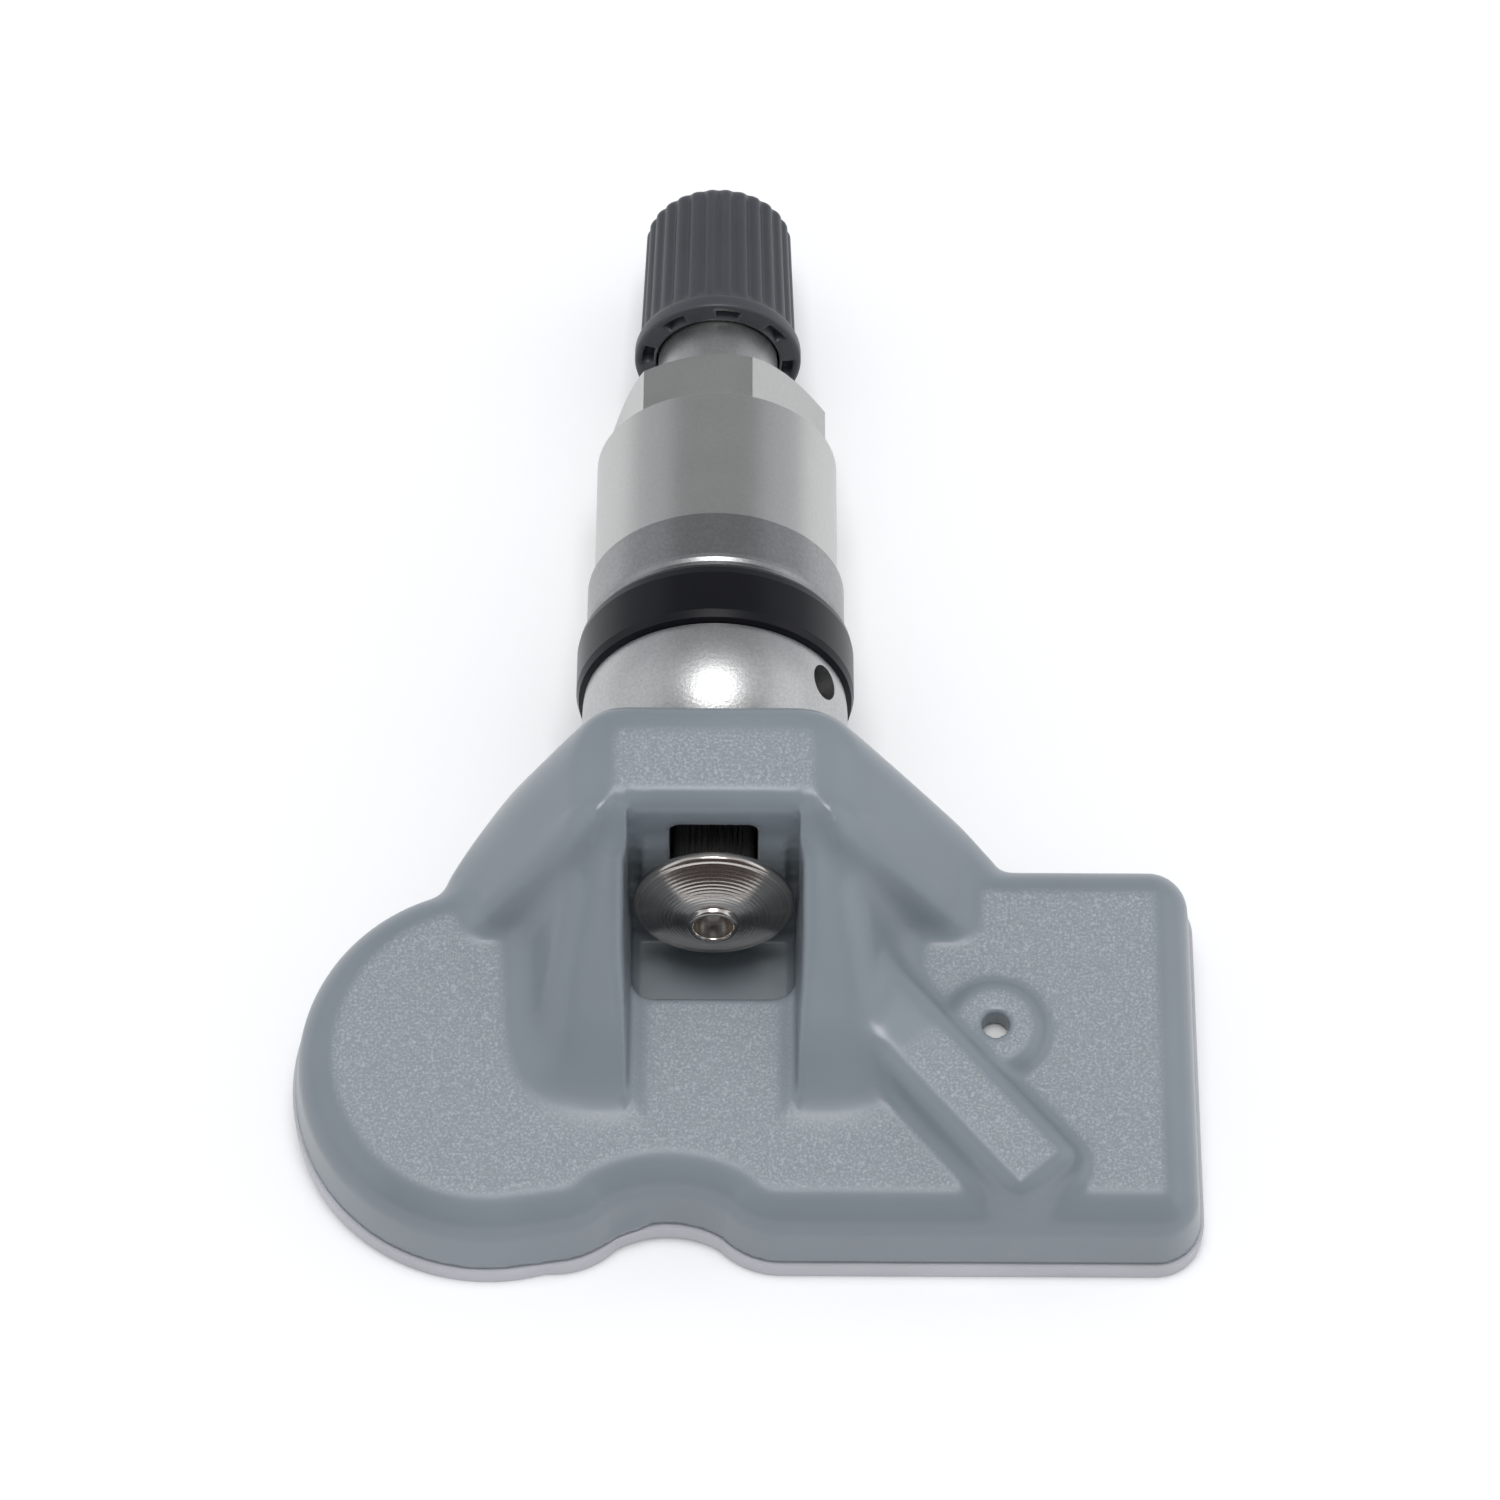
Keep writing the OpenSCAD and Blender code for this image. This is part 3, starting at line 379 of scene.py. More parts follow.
def surfaceNet(field, origin, cell):
    # one vertex in each cell that the surface crosses, at the mean of its edge crossings,
    # and one quad round each grid edge that the surface crosses
    nx, ny, nz = field.shape
    inside = field < 0
    total = np.zeros((nx - 1, ny - 1, nz - 1), np.int8)
    for i in (0, 1):
        for j in (0, 1):
            for k in (0, 1):
                total += inside[i:nx - 1 + i, j:ny - 1 + j, k:nz - 1 + k]
    live = (total > 0) & (total < 8)
    number = np.full(live.shape, -1, np.int64)
    number[live] = np.arange(live.sum())
    cells = np.argwhere(live)
    sums = np.zeros((len(cells), 3))
    hits = np.zeros(len(cells))
    corners = [(i, j, k) for i in (0, 1) for j in (0, 1) for k in (0, 1)]
    for a in corners:
        for axis in range(3):
            if a[axis]:
                continue
            b = list(a)
            b[axis] = 1
            fa = field[cells[:, 0] + a[0], cells[:, 1] + a[1], cells[:, 2] + a[2]]
            fb = field[cells[:, 0] + b[0], cells[:, 1] + b[1], cells[:, 2] + b[2]]
            crossed = (fa < 0) != (fb < 0)
            t = np.where(crossed, fa / np.where(crossed, fa - fb, 1), 0)
            point = np.tile(np.array(a, float), (len(cells), 1))
            point[:, axis] += t
            sums += point * crossed[:, None]
            hits += crossed
    verts = (cells + sums / hits[:, None]) * cell + origin
    quads = []
    for axis in range(3):
        o1, o2 = [d for d in range(3) if d != axis]
        shape = [nx, ny, nz]
        lo = [slice(None)] * 3
        hi = [slice(None)] * 3
        lo[axis], hi[axis] = slice(0, shape[axis] - 1), slice(1, shape[axis])
        lo[o1] = hi[o1] = slice(1, shape[o1] - 1)
        lo[o2] = hi[o2] = slice(1, shape[o2] - 1)
        fa, fb = inside[tuple(lo)], inside[tuple(hi)]
        where = np.argwhere(fa != fb)
        outward = fa[tuple(where.T)]
        where[:, o1] += 1
        where[:, o2] += 1
        step1, step2 = np.zeros(3, int), np.zeros(3, int)
        step1[o1], step2[o2] = 1, 1
        ring = [where, where - step1, where - step1 - step2, where - step2]
        ids = np.stack([number[tuple(r.T)] for r in ring], 1)
        forward = outward if axis != 1 else ~outward
        ids[~forward] = ids[~forward][:, ::-1]
        quads.append(ids)
    return verts, np.concatenate(quads)


def buildHousing():
    # the field is sampled on a grid and its zero surface becomes the mesh; the grain value of a point
    # is the upward share of the field's slope there, stretched to 0..1
    h = housing
    cell = h["cell"]
    low = np.array([*h["sampled"][0], h["coverThick"] - 2 * cell])
    high = np.array(h["sampled"][1])
    counts = np.ceil((high - low) / cell).astype(int)
    xs, ys, zs = (low[i] + cell * np.arange(counts[i]) for i in range(3))
    gx, gy = np.meshgrid(xs, ys, indexing="ij")
    plan = planDistance(np.stack([gx.ravel(), gy.ravel()], 1),
                        lobeOutline(-h["step"])).reshape(gx.shape)
    x, y, z = np.meshgrid(xs, ys, zs, indexing="ij")
    field = housingField(x, y, z, np.repeat(plan[:, :, None], len(zs), 2))
    verts, quads = surfaceNet(field, low, cell)
    # grain shows where the surface is level: on the lobes, the channel floor, the block and the bump;
    # the same mask paints the bright specks of sparkle that light makes on these level faces
    gradient = np.gradient(field, cell)
    index = np.clip(((verts - low) / cell), 0, counts - 1.001)
    base = index.astype(int)
    frac = index - base
    normal = np.zeros((len(verts), 3))
    for i in (0, 1):
        for j in (0, 1):
            for k in (0, 1):
                weight = (np.where(i, frac[:, 0], 1 - frac[:, 0])
                          * np.where(j, frac[:, 1], 1 - frac[:, 1])
                          * np.where(k, frac[:, 2], 1 - frac[:, 2]))
                at = (base[:, 0] + i, base[:, 1] + j, base[:, 2] + k)
                for axis in range(3):
                    normal[:, axis] += weight * gradient[axis][at]
    normal /= np.maximum(np.linalg.norm(normal, axis=1), 1e-9)[:, None]
    least, span, fall = h["grainLevel"]
    level = np.clip((normal[:, 2] - least) / span, 0, 1) ** fall
    lowest, span = h["grainHeight"]
    onTop = np.clip((verts[:, 2] - lowest) / span, 0, 1)
    # on the block it stops short of the rear edge and the sides
    rear, side, fade = h["grainBlock"]
    fromRear = np.clip((rear - verts[:, 1]) / fade, 0, 1)
    fromSide = np.clip((side - np.abs(verts[:, 0])) / fade, 0, 1)
    onTop *= np.where(verts[:, 2] > 12, fromRear * fromSide, 1)
    # the bump's rear end is smooth
    bx, by, turn = h["bump"][:3]
    c, s = math.cos(math.radians(turn)), math.sin(math.radians(turn))
    u = (verts[:, 0] - bx) * c + (verts[:, 1] - by) * s
    w = -(verts[:, 0] - bx) * s + (verts[:, 1] - by) * c
    halfWidth, middle, halfHeight, end, fade = h["bumpEnd"]
    onBump = ((np.abs(w) < halfWidth) & (np.abs(verts[:, 2] - middle) < halfHeight)
              & (u < 9) & (verts[:, 0] > 5))
    onTop *= np.where(onBump, np.clip((u - end) / fade, 0, 1), 1)
    obj = meshPiece("housing_skin", housingToWorld(verts), quads)
    layer = obj.data.attributes.new("grain", "FLOAT", "POINT")
    layer.data.foreach_set("value", (level * onTop).astype(np.float32))
    return obj


# materials
def newMaterial(name):
    mat = bpy.data.materials.new(name)
    mat.use_nodes = True
    tree = mat.node_tree
    return mat, tree, tree.nodes["Principled BSDF"]


def node(tree, kind, **values):
    # a value goes to the input of that name, or else to the node's own setting
    made = tree.nodes.new(kind)
    for key, value in values.items():
        if key in made.inputs:
            made.inputs[key].default_value = value
        else:
            setattr(made, key, value)
    return made


def plainCoords(tree):
    return node(tree, "ShaderNodeTexCoord").outputs["Object"]


def valveCoords(tree):
    # object coordinates turned so that Y runs along the valve
    mapping = node(tree, "ShaderNodeMapping")
    mapping.inputs["Rotation"].default_value = (valveSlope, 0, 0)
    tree.links.new(plainCoords(tree), mapping.inputs["Vector"])
    return mapping.outputs["Vector"]


def ramp(tree, source, stops):
    # colours along a value, each stop a place from 0 to 1 and a colour
    made = tree.nodes.new("ShaderNodeValToRGB")
    band = made.color_ramp
    while len(band.elements) < len(stops):
        band.elements.new(0.5)
    for element, (at, colour) in zip(band.elements, stops):
        element.position = at
        element.color = (*colour, 1)
    tree.links.new(source, made.inputs["Fac"])
    return made.outputs["Color"]


plasticLook = {
    "smooth": (0.205, 0.233, 0.256),
    "grainDark": (0.215, 0.243, 0.262),
    "grainMid": (0.25, 0.28, 0.30),
    # the lightest grain tone gives bright specks of painted sparkle, light glinting off the grained
    # faces
    "grainPaintedSparkle": (0.36, 0.395, 0.415),
    "grainSize": 6300,
    "roughness": (0.29, 0.55),    # smooth places, grained places
}


def makeHousingPlastic():
    # grey moulded plastic: fine grain where the piece's grain value is high, smooth elsewhere; the
    # grain's relief and roughness are real, and its bright specks are painted sparkle, light glinting
    # off the level faces
    mat, tree, skin = newMaterial("housing moulded plastic")
    link = tree.links.new
    coords = plainCoords(tree)
    amount = node(tree, "ShaderNodeAttribute", attribute_name="grain").outputs["Fac"]
    fine = node(tree, "ShaderNodeTexNoise", Scale=plasticLook["grainSize"], Detail=2.0, Roughness=0.6)
    soft = node(tree, "ShaderNodeTexNoise", Scale=90.0, Detail=3.0, Roughness=0.5)
    link(coords, fine.inputs["Vector"])
    link(coords, soft.inputs["Vector"])
    # grain tones from dark to light; the sparse lightest specks are painted sparkle
    grainWithPaintedSparkle = ramp(tree, fine.outputs["Fac"],
                 [(0.36, plasticLook["grainDark"]), (0.52, plasticLook["grainMid"]),
                  (0.70, plasticLook["grainPaintedSparkle"])])
    calm = ramp(tree, soft.outputs["Fac"], [(0.3, tuple(c * 0.93 for c in plasticLook["smooth"])),
                                            (0.7, tuple(c * 1.06 for c in plasticLook["smooth"]))])
    mix = node(tree, "ShaderNodeMix", data_type="RGBA")
    link(amount, mix.inputs["Factor"])
    link(calm, mix.inputs["A"])
    link(grainWithPaintedSparkle, mix.inputs["B"])
    link(mix.outputs["Result"], skin.inputs["Base Color"])
    bump = node(tree, "ShaderNodeBump", Strength=0.6, Distance=0.00003)
    height = node(tree, "ShaderNodeMath", operation="MULTIPLY")
    link(fine.outputs["Fac"], height.inputs[0])
    link(amount, height.inputs[1])
    link(height.outputs["Value"], bump.inputs["Height"])
    link(bump.outputs["Normal"], skin.inputs["Normal"])
    rough = node(tree, "ShaderNodeMapRange")
    rough.inputs["To Min"].default_value = plasticLook["roughness"][0]
    rough.inputs["To Max"].default_value = plasticLook["roughness"][1]
    link(amount, rough.inputs["Value"])
    link(rough.outputs["Result"], skin.inputs["Roughness"])
    return mat


def makePlastic(name, colour, roughness, grainScale, grainDepth, spread=0.08, shine=0.5):
    # plain moulded plastic or rubber with a fine surface
    mat, tree, skin = newMaterial(name)
    skin.inputs["Specular IOR Level"].default_value = shine
    link = tree.links.new
    coords = plainCoords(tree)
    fine = node(tree, "ShaderNodeTexNoise", Scale=grainScale, Detail=3.0, Roughness=0.6)
    wide = node(tree, "ShaderNodeTexNoise", Scale=140.0, Detail=3.0)
    link(coords, fine.inputs["Vector"])
    link(coords, wide.inputs["Vector"])
    tone = ramp(tree, wide.outputs["Fac"], [(0.3, tuple(c * (1 - spread) for c in colour)),
                                            (0.7, tuple(c * (1 + spread) for c in colour))])
    link(tone, skin.inputs["Base Color"])
    rough = node(tree, "ShaderNodeMapRange")
    rough.inputs["To Min"].default_value = roughness - 0.06
    rough.inputs["To Max"].default_value = roughness + 0.08
    link(wide.outputs["Fac"], rough.inputs["Value"])
    link(rough.outputs["Result"], skin.inputs["Roughness"])
    bump = node(tree, "ShaderNodeBump", Strength=0.5, Distance=grainDepth)
    link(fine.outputs["Fac"], bump.inputs["Height"])
    link(bump.outputs["Normal"], skin.inputs["Normal"])
    return mat


def makeMetal(name, colour, roughness, kind="turned", depth=0.000012, scale=5000.0, spread=0.1):
    # metal: turned has lines round the valve's axis, any other kind has a fine round grain
    mat, tree, skin = newMaterial(name)
    link = tree.links.new
    skin.inputs["Metallic"].default_value = 1.0
    coords = valveCoords(tree)
    wide = node(tree, "ShaderNodeTexNoise", Scale=220.0, Detail=3.0)
    link(coords, wide.inputs["Vector"])
    if kind == "turned":
        # rings round the axis: noise read at the radius and the place along the axis
        apart = node(tree, "ShaderNodeSeparateXYZ")
        link(coords, apart.inputs["Vector"])
        sx = node(tree, "ShaderNodeMath", operation="MULTIPLY")
        sz = node(tree, "ShaderNodeMath", operation="MULTIPLY")
        for m, out in ((sx, "X"), (sz, "Z")):
            link(apart.outputs[out], m.inputs[0])
            link(apart.outputs[out], m.inputs[1])
        add = node(tree, "ShaderNodeMath", operation="ADD")
        link(sx.outputs["Value"], add.inputs[0])
        link(sz.outputs["Value"], add.inputs[1])
        root = node(tree, "ShaderNodeMath", operation="SQRT")
        link(add.outputs["Value"], root.inputs[0])
        place = node(tree, "ShaderNodeCombineXYZ")
        link(root.outputs["Value"], place.inputs["X"])
        link(apart.outputs["Y"], place.inputs["Y"])
        fine = node(tree, "ShaderNodeTexNoise", Scale=scale, Detail=2.0, Roughness=0.55)
        link(place.outputs["Vector"], fine.inputs["Vector"])
        # the grooves run round the axis, so light spreads along the cross of the axis and the place
        cross = node(tree, "ShaderNodeVectorMath", operation="CROSS_PRODUCT")
        cross.inputs[0].default_value = (0, math.cos(valveSlope), -math.sin(valveSlope))
        link(plainCoords(tree), cross.inputs[1])
        link(cross.outputs["Vector"], skin.inputs["Tangent"])
        skin.inputs["Anisotropic"].default_value = 0.15
        skin.inputs["Anisotropic Rotation"].default_value = 0.25
    else:
        fine = node(tree, "ShaderNodeTexNoise", Scale=scale, Detail=3.0, Roughness=0.6)
        link(coords, fine.inputs["Vector"])
    tone = ramp(tree, fine.outputs["Fac"], [(0.3, tuple(c * (1 - spread) for c in colour)),
                                            (0.7, tuple(min(1, c * (1 + spread)) for c in colour))])
    link(tone, skin.inputs["Base Color"])
    rough = node(tree, "ShaderNodeMapRange")
    rough.inputs["To Min"].default_value = roughness - 0.05
    rough.inputs["To Max"].default_value = roughness + 0.07
    link(wide.outputs["Fac"], rough.inputs["Value"])
    link(rough.outputs["Result"], skin.inputs["Roughness"])
    bump = node(tree, "ShaderNodeBump", Strength=0.6, Distance=depth)
    link(fine.outputs["Fac"], bump.inputs["Height"])
    link(bump.outputs["Normal"], skin.inputs["Normal"])
    return mat


def give(nodeName, mat):
    # put one material in every slot of a CAD node
    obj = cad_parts[nodeName]
    if not obj.material_slots:
        obj.data.materials.append(mat)
    for s in obj.material_slots:
        s.material = mat


print("making materials")
housingMat = makeHousingPlastic()
looks = {
    "base_cover": makePlastic("cover plastic", (0.52, 0.52, 0.55), 0.5, 2500, 0.00001),
    "circuit_board": makePlastic("board green", (0.02, 0.09, 0.035), 0.35, 3000, 0.00001),
    "battery_cell": makeMetal("cell steel", (0.62, 0.63, 0.65), 0.3, "plain"),
    "battery_tab_top": makeMetal("tab nickel", (0.66, 0.63, 0.58), 0.32, "plain"),
    "battery_tab_bottom": makeMetal("tab nickel low", (0.66, 0.63, 0.58), 0.32, "plain"),
    "pressure_chip": makePlastic("chip black", (0.018, 0.018, 0.02), 0.4, 4000, 0.00001),
    "radio_chip": makePlastic("radio chip black", (0.018, 0.018, 0.02), 0.42, 4000, 0.00001),
    "crystal": makeMetal("crystal can", (0.62, 0.62, 0.64), 0.3, "plain"),
    "antenna_ferrite": makePlastic("ferrite", (0.03, 0.03, 0.032), 0.5, 4000, 0.00001),
    "antenna_winding": makeMetal("copper winding", (0.72, 0.32, 0.12), 0.3, "turned", 0.00003, 6000.0),
    "port_gasket": makePlastic("port rubber", (0.018, 0.018, 0.02), 0.6, 3000, 0.00001),
    "vent_membrane": makePlastic("vent film", (0.88, 0.88, 0.86), 0.7, 6000, 0.00001, 0.02),
    "valve_stem": makeMetal("blasted aluminium", (0.50, 0.50, 0.495), 0.36, "blasted", 0.00002,
                            5200.0, 0.10),
    "hollow_screw": makeMetal("turned nickel", (0.66, 0.615, 0.57), 0.22, "turned", 0.000005,
                              7000.0, 0.12),
    "rubber_grommet": makePlastic("grommet rubber", (0.004, 0.004, 0.006), 0.3, 2500, 0.000006,
                                  0.08, 0.25),
    "thrust_washer": makeMetal("coated washer", (0.31, 0.315, 0.315), 0.33, "blasted", 0.00001, 4000.0),
    "collar_nut": makeMetal("turned aluminium", (0.53, 0.525, 0.51), 0.34, "blasted", 0.000008,
                            5000.0, 0.04),
    "cap_seal": makePlastic("cap rubber", (0.018, 0.018, 0.02), 0.6, 3000, 0.00001),
    "valve_cap": makePlastic("cap plastic", (0.05, 0.054, 0.061), 0.42, 3500, 0.00001),
    "core_body": makeMetal("core brass", (0.72, 0.55, 0.25), 0.3, "turned"),
    "core_gasket": makePlastic("core ring red", (0.4, 0.05, 0.03), 0.45, 3000, 0.00001),
    "core_seal": makePlastic("core rubber", (0.018, 0.018, 0.02), 0.6, 3000, 0.00001),
    "core_pin": makeMetal("pin brass", (0.72, 0.56, 0.28), 0.28, "turned"),
    "core_spring": makeMetal("spring wire", (0.66, 0.66, 0.68), 0.3, "plain"),
    "housing_shell": housingMat,
}
for nodeName, mat in looks.items():
    give(nodeName, mat)

print("shaping the housing")
skin = buildHousing()
skin.data.materials.append(housingMat)
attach(skin, "sensor")
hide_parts("housing_shell")
print("housing faces:", len(skin.data.polygons))

# cap: round flutes that fade out at the flange and over the crown
print("shaping the cap")
cap = {
    "mouth": 27.6,            # station of its mouth along the valve
    "length": 11.2,
    "flange": (5.3, 1.1),     # radius and length
    "body": (4.98, 4.68),     # radius at the flange and at the crown
    "crown": 0.9,
    "bore": 3.95,
    "roof": 2.1,
    "flutes": 28, "fluteDepth": 0.24,
    "notches": 8, "notchHalf": 0.8, "notchDeep": 0.8, "notchTurn": -8,
}


def buildCap():
    # a profile of radius and station turned round the axis; the radius loses a cosine of the turn
    # raised to a power for the flutes, and the mouth's station gains a soft step at each notch
    c = cap
    steps = c["flutes"] * 14
    turn = np.arange(steps) * 2 * math.pi / steps
    v0, end = c["mouth"], c["mouth"] + c["length"]
    fr, fl = c["flange"]
    # rows: radius, station, share of the flute's depth, share of the notch's depth
    rows = [(c["bore"], v0, 0, 0), (c["bore"] + 0.14, v0, 0, 0), (c["bore"] + 0.15, v0, 0, 1),
            (fr - 0.46, v0, 0, 1), (fr - 0.45, v0, 0, 0), (fr - 0.15, v0, 0, 0),
            (fr - 0.04, v0 + 0.05, 0, 0), (fr, v0 + 0.16, 0, 0), (fr, v0 + fl - 0.32, 0, 0),
            (fr - 0.05, v0 + fl - 0.16, 0, 0), (fr - 0.16, v0 + fl - 0.05, 0, 0),
            (c["body"][0] + 0.04, v0 + fl, 0, 0), (c["body"][0] - 0.01, v0 + fl + 0.06, 0, 0)]
    top = end - c["crown"]
    for t in np.linspace(0.04, 1, 26):
        share = min(1, t / 0.08)
        rows.append((c["body"][0] + (c["body"][1] - c["body"][0]) * t, v0 + fl + (top - v0 - fl) * t,
                     share * share * (3 - 2 * share), 0))
    for a in np.radians(np.linspace(8, 90, 12)):
        rows.append((c["body"][1] - c["crown"] * (1 - math.cos(a)), top + c["crown"] * math.sin(a),
                     max(0, math.cos(a * 1.15)) ** 1.5, 0))
    rows += [(2.0, end, 0, 0), (0.05, end, 0, 0), (0.002, end, 0, 0), (0.002, end - c["roof"], 0, 0),
             (0.05, end - c["roof"], 0, 0), (c["bore"] - 0.3, end - c["roof"], 0, 0),
             (c["bore"], end - c["roof"], 0, 0)]
    rows += [(c["bore"], v, 0, 0) for v in np.linspace(end - c["roof"] - 0.5, v0 + 1.2, 8)]
    rows = np.array(rows)
    # flute: rounded ribs with narrower grooves, 1 at the middle of a groove
    groove = (0.5 + 0.5 * np.cos(turn * c["flutes"])) ** 1.6
    radius = rows[:, 0:1] - rows[:, 2:3] * groove * c["fluteDepth"]
    # notches: straight slots across the mouth
    fold = 2 * math.pi / c["notches"]
    near = np.abs((turn - math.radians(c["notchTurn"]) + fold / 2) % fold - fold / 2)
    inNotch = 1 / (1 + np.exp((near - c["notchHalf"] / fr) * 160))
    station = rows[:, 1:2] + rows[:, 3:4] * inNotch * c["notchDeep"]
    return wrappedPiece("cap_skin", radius, station, "cap")


capSkin = buildCap()
capSkin.data.materials.append(looks["valve_cap"])
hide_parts("valve_cap")

# thread on the end of the stem, seen when the cap is off
thread = {"from": 28.4, "to": 35.2, "pitch": 0.79, "root": 3.79, "depth": 0.12}


def buildThread():
    # the radius rises where the station, less the turn's share of the pitch, is near a whole pitch
    t = thread
    steps = 120
    turn = np.arange(steps) * 2 * math.pi / steps
    v = np.linspace(t["from"], t["to"], 150)[:, None]
    phase = (v / t["pitch"] - turn / (2 * math.pi)) % 1
    ridge = np.clip(1.25 * (1 - np.abs(phase * 2 - 1)) - 0.1, 0, 1)
    fade = np.clip(np.minimum(v - t["from"], t["to"] - v) / 0.4, 0, 1)
    radius = t["root"] + 0.015 + t["depth"] * ridge * fade
    inner = np.full((1, steps), t["root"] - 0.1)
    start, end = (np.full((1, steps), t[key]) for key in ("from", "to"))
    radius = np.vstack([inner, radius, inner])
    station = np.vstack([start, np.repeat(v, steps, 1), end])
    return wrappedPiece("stem_thread", radius, station, "valve")


print("shaping the thread")
threadPiece = buildThread()
threadPiece.data.materials.append(looks["valve_stem"])

# hollow screw: rounded rim and lip, straight knurl on the shank
screw = {
    "hole": 1.18, "bore": 0.9,
    "lip": (1.55, -17.1),     # outer radius and station of the lip round the hole
    "rim": (4.4, -15.6),      # where the cone ends
    "crown": 0.2,             # how far the cone bulges
    "grooves": 13, "grooveDeep": 0.007,
    "edge": (4.75, -15.3, -15.05),    # the head's widest band
    "back": (2.55, -14.0),
    "shank": 2.45, "ridges": 36, "ridgeDeep": 0.14, "shankEnd": -8.04,
    "thread": (1.95, 2.0),
}


def buildScrew():
    # a profile of radius and station turned round the axis; the shank's radius loses the knurl's depth
    # between the peaks of a cosine of the turn
    k = screw
    steps = k["ridges"] * 10
    turn = np.arange(steps) * 2 * math.pi / steps
    lipR, lipV = k["lip"]
    rimR, rimV = k["rim"]
    edgeR, edge0, edge1 = k["edge"]
    hole = k["hole"]
    # rows: radius, station, share of the knurl's depth
    rows = [(hole, lipV + 0.14, 0), (hole + 0.03, lipV + 0.05, 0), (hole + 0.1, lipV, 0),
            (lipR - 0.14, lipV, 0), (lipR - 0.05, lipV + 0.04, 0), (lipR, lipV + 0.13, 0),
            (lipR + 0.02, lipV + 0.28, 0)]
    # the cone, crowned a little between the lip and the rim, with fine turned grooves
    for t in np.linspace(0.01, 1, 96):
        groove = (k["grooveDeep"] * math.sin(2 * math.pi * k["grooves"] * t)
                  * math.sin(math.pi * t))
        crown = k["crown"] * math.sin(math.pi * t)
        rows.append((lipR + 0.06 + (rimR - lipR - 0.06) * t,
                     lipV + 0.36 + (rimV - lipV - 0.36) * t - crown + groove, 0))
    # the rim: a quarter turn from the cone to the widest band
    for a in np.radians(np.linspace(15, 90, 7)):
        rows.append((rimR + (edgeR - rimR) * math.sin(a), edge0 - (edge0 - rimV) * math.cos(a), 0))
    rows += [(edgeR, edge1, 0), (edgeR - 0.04, edge1 + 0.06, 0), (edgeR - 0.14, edge1 + 0.1, 0)]
    rows += [(k["back"][0], k["back"][1], 0), (k["shank"], k["back"][1] + 0.03, 0)]
    rows += [(k["shank"], v, 1) for v in np.linspace(k["back"][1] + 0.1, k["shankEnd"] - 0.1, 14)]
    threadR, threadEnd = k["thread"]
    step = k["back"][1] - 0.1
    rows += [(k["shank"] - 0.2, k["shankEnd"], 0), (threadR, k["shankEnd"], 0), (threadR, threadEnd, 0),
             (k["bore"], threadEnd, 0), (k["bore"], step, 0), (hole, step, 0)]
    rows = np.array(rows)
    # knurl: rounded ridges, 0 at a ridge's crest and 1 between two
    valley = 1 - np.abs(np.cos(turn * k["ridges"] / 2)) ** 0.8
    radius = rows[:, 0:1] - rows[:, 2:3] * valley * k["ridgeDeep"]
    return wrappedPiece("screw_skin", radius, np.repeat(rows[:, 1:2], steps, 1), "valve")


print("shaping the screw")
screwSkin = buildScrew()
screwSkin.data.materials.append(looks["hollow_screw"])
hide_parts("hollow_screw")

# floor, light and camera
print("setting the stage")
stage = {
    "floorWhite": (0.9, 0.9, 0.9),
    "floorEdges": (-1.5, 1.5, -1.2, 2.5),    # left, right, front and back, in metres
    "glow": 0.10,             # added to the floor's light, so that lit floor is white
    "world": 0.62,
    "sky": (0.92, 0.95, 1.0),
    # place, aim, size and power of each lamp
    "lamps": {
        "top soft": ((0.0, -0.07, 0.8), (0, -0.01, 0), (0.34, 0.28), 3.0),
        "left soft": ((-0.8, 0.0, 0.35), (0, 0, 0), (0.9, 0.6), 0.5),
        "right soft": ((0.8, 0.0, 0.35), (0, 0, 0), (0.9, 0.6), 0.9),
    },
    # cards that only reflections see: half width, place of the lower and of the upper edge, colour
    "cards": {
        "card behind the camera": (0.5, (-0.55, 0.1), (-0.2, 0.75), (0.05, 0.035, 0.035)),
        "card in front": (0.15, (-0.12, -0.008), (-0.2, 0.12), (0.05, 0.035, 0.035)),
        "card beyond": (0.4, (0.62, 0.3), (0.26, 0.78), (0.33, 0.33, 0.33)),
    },
}


def areaLight(name, at, target, size, power):
    # a rectangular lamp turned towards its target
    lamp = bpy.data.lights.new(name, "AREA")
    lamp.shape = "RECTANGLE"
    lamp.size, lamp.size_y = size
    lamp.energy = power
    obj = bpy.data.objects.new(name, lamp)
    bpy.context.scene.collection.objects.link(obj)
    obj.location = at
    obj.rotation_euler = (Vector(target) - Vector(at)).to_track_quat("-Z", "Y").to_euler()


def makeFloor():
    # one flat face just under the sensor's lowest point
    z = cadBox[0][2] - 0.00002
    left, right, front, back = stage["floorEdges"]
    verts = np.array([[left, front, z], [right, front, z], [right, back, z], [left, back, z]])
    obj = meshPiece("floor", verts, [[0, 1, 2, 3]], smooth=False)
    mat, tree, skin = newMaterial("white table")
    link = tree.links.new
    skin.inputs["Base Color"].default_value = (*stage["floorWhite"], 1)
    skin.inputs["Roughness"].default_value = 0.6
    skin.inputs["Specular IOR Level"].default_value = 0.2
    # the glow is seen by the camera, by gloss and through glass
    path = node(tree, "ShaderNodeLightPath")
    seen = path.outputs["Is Camera Ray"]
    for ray in ("Is Glossy Ray", "Is Transmission Ray"):
        either = node(tree, "ShaderNodeMath", operation="MAXIMUM")
        link(seen, either.inputs[0])
        link(path.outputs[ray], either.inputs[1])
        seen = either.outputs["Value"]
    glow = node(tree, "ShaderNodeMath", operation="MULTIPLY")
    link(seen, glow.inputs[0])
    glow.inputs[1].default_value = stage["glow"]
    skin.inputs["Emission Color"].default_value = (1, 1, 1, 1)
    link(glow.outputs["Value"], skin.inputs["Emission Strength"])
    obj.data.materials.append(mat)


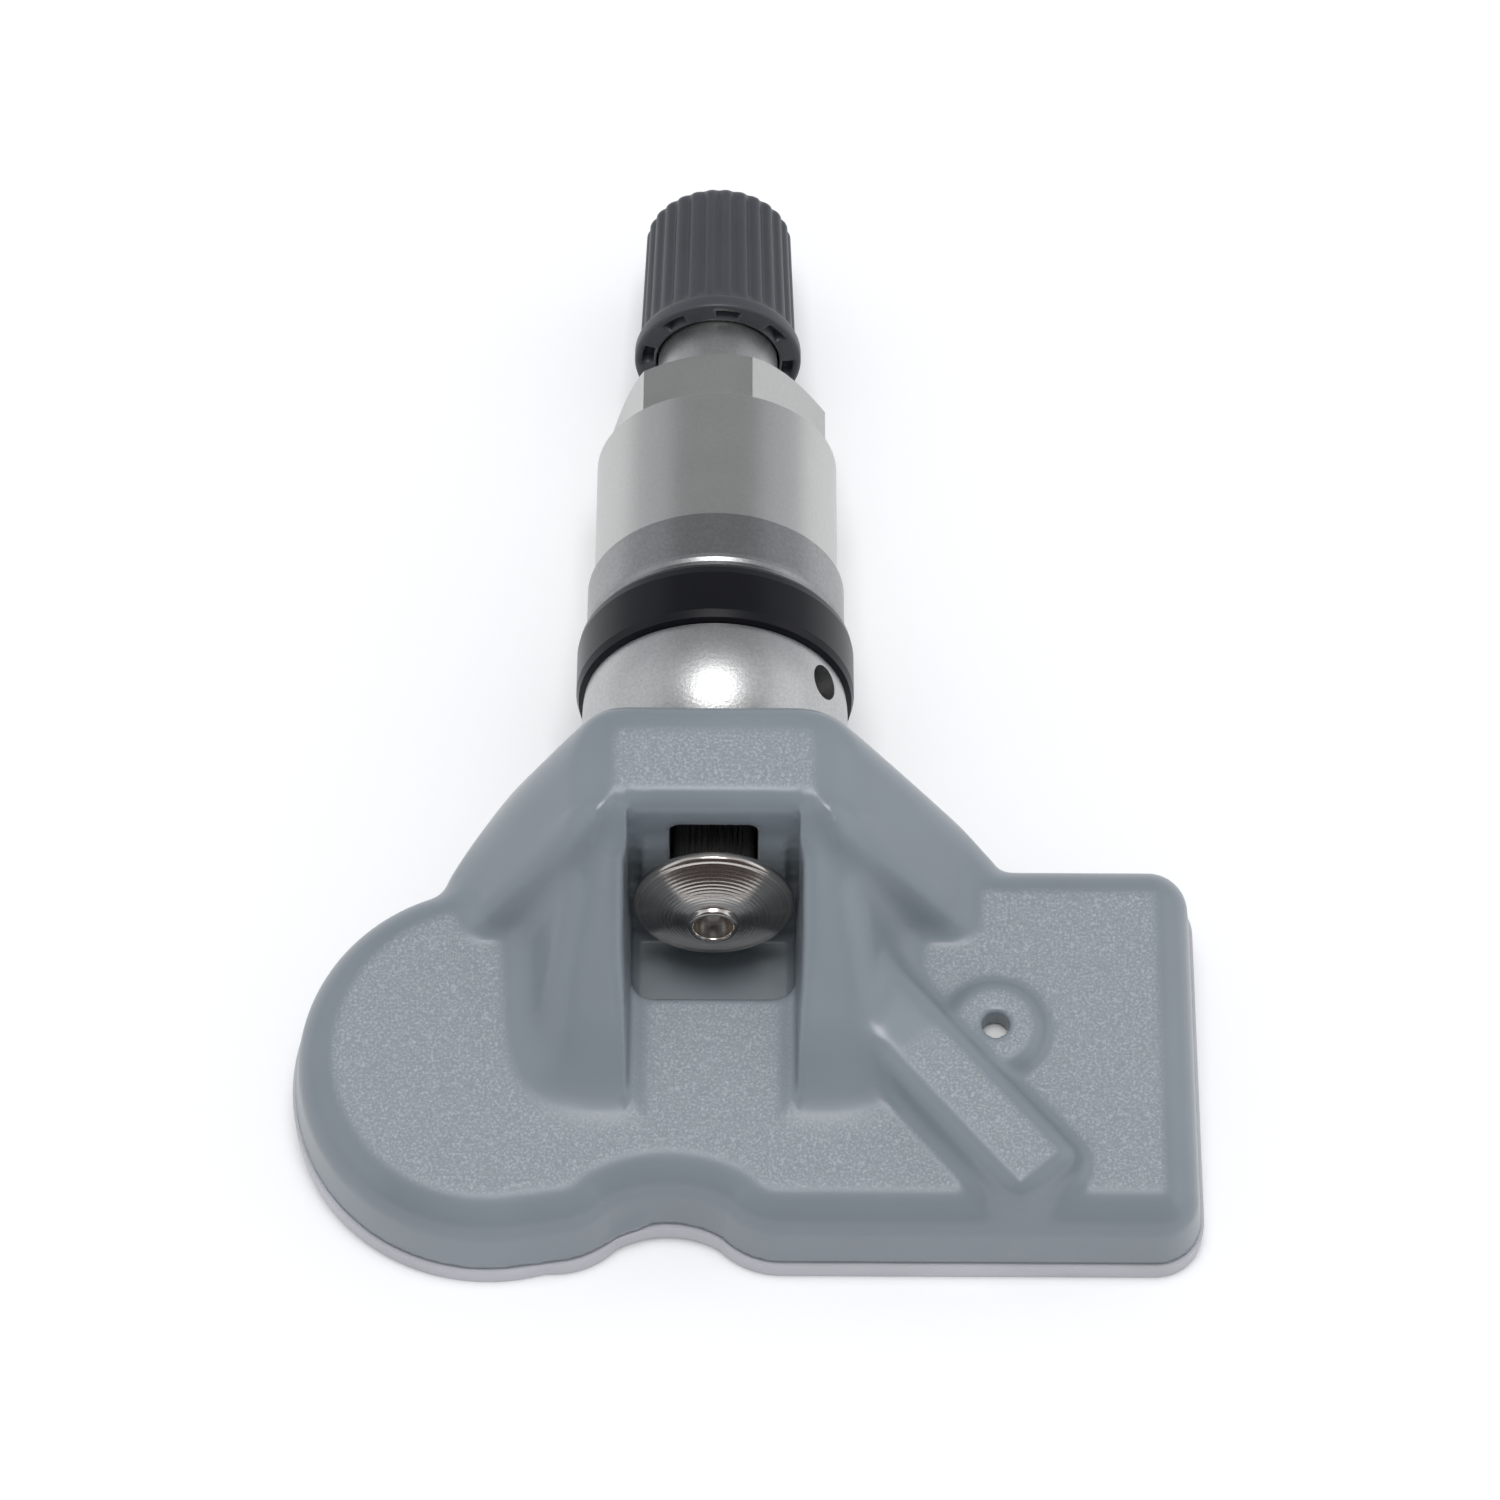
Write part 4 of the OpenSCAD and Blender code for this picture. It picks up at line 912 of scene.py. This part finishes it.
makeFloor()
world = bpy.data.worlds.new("studio")
bpy.context.scene.world = world
world.use_nodes = True
background = world.node_tree.nodes["Background"]
background.inputs["Color"].default_value = (*stage["sky"], 1)
background.inputs["Strength"].default_value = stage["world"]
for lampName, lampValues in stage["lamps"].items():
    areaLight(lampName, *lampValues)


def makeCard(name, half, lower, upper, colour):
    # a flat card across X from its lower edge to its upper edge, each given by y and z
    corners = np.array([(-half, *lower), (half, *lower), (half, *upper), (-half, *upper)], float)
    obj = meshPiece(name, corners, [[0, 1, 2, 3]], smooth=False)
    mat, tree, skin = newMaterial(name)
    skin.inputs["Base Color"].default_value = (*colour, 1)
    skin.inputs["Roughness"].default_value = 1.0
    obj.data.materials.append(mat)
    obj.visible_camera = obj.visible_diffuse = obj.visible_shadow = False


for cardName, cardValues in stage["cards"].items():
    makeCard(cardName, *cardValues)

view = {
    "frame": 1500,            # pixels across the frame
    "focal": 5500.0,          # in the same pixels
    "elevation": 57.683, "azimuth": 0.275, "roll": 0.529,
    "distance": 334.5,        # millimetres to the middle of the ball's shoulder
    "aim": (715.1, 700.8),    # where that point stands in the frame
}


def makeCamera():
    # the camera looks along its azimuth and elevation, turned by the roll, and stands back from the
    # ball's shoulder along the ray that puts this point at its aim
    az, el, roll = (math.radians(view[k]) for k in ("azimuth", "elevation", "roll"))
    forward = -np.array([-math.sin(az) * math.cos(el), -math.cos(az) * math.cos(el), math.sin(el)])
    right = np.cross(forward, [0, 0, 1])
    right /= np.linalg.norm(right)
    up = np.cross(right, forward)
    c, s = math.cos(roll), math.sin(roll)
    right, up = right * c + up * s, up * c - right * s
    target = valveToWorld(np.array(0.0), np.array(0.0), np.array(0.0))
    aimX, aimY = ((v - view["frame"] / 2) / view["focal"] for v in view["aim"])
    ray = forward + right * aimX - up * aimY
    at = target - ray * view["distance"] * 0.001
    data = bpy.data.cameras.new("photo view")
    data.sensor_width = 36
    data.lens = view["focal"] / view["frame"] * data.sensor_width
    data.clip_start, data.clip_end = 0.01, 10
    obj = bpy.data.objects.new("photo view", data)
    turn = Matrix([list(right), list(up), list(-forward)]).transposed()
    obj.matrix_world = Matrix.Translation(Vector(at)) @ turn.to_4x4()
    bpy.context.scene.collection.objects.link(obj)
    bpy.context.scene.camera = obj


makeCamera()
bpy.context.scene.view_settings.view_transform = "Standard"
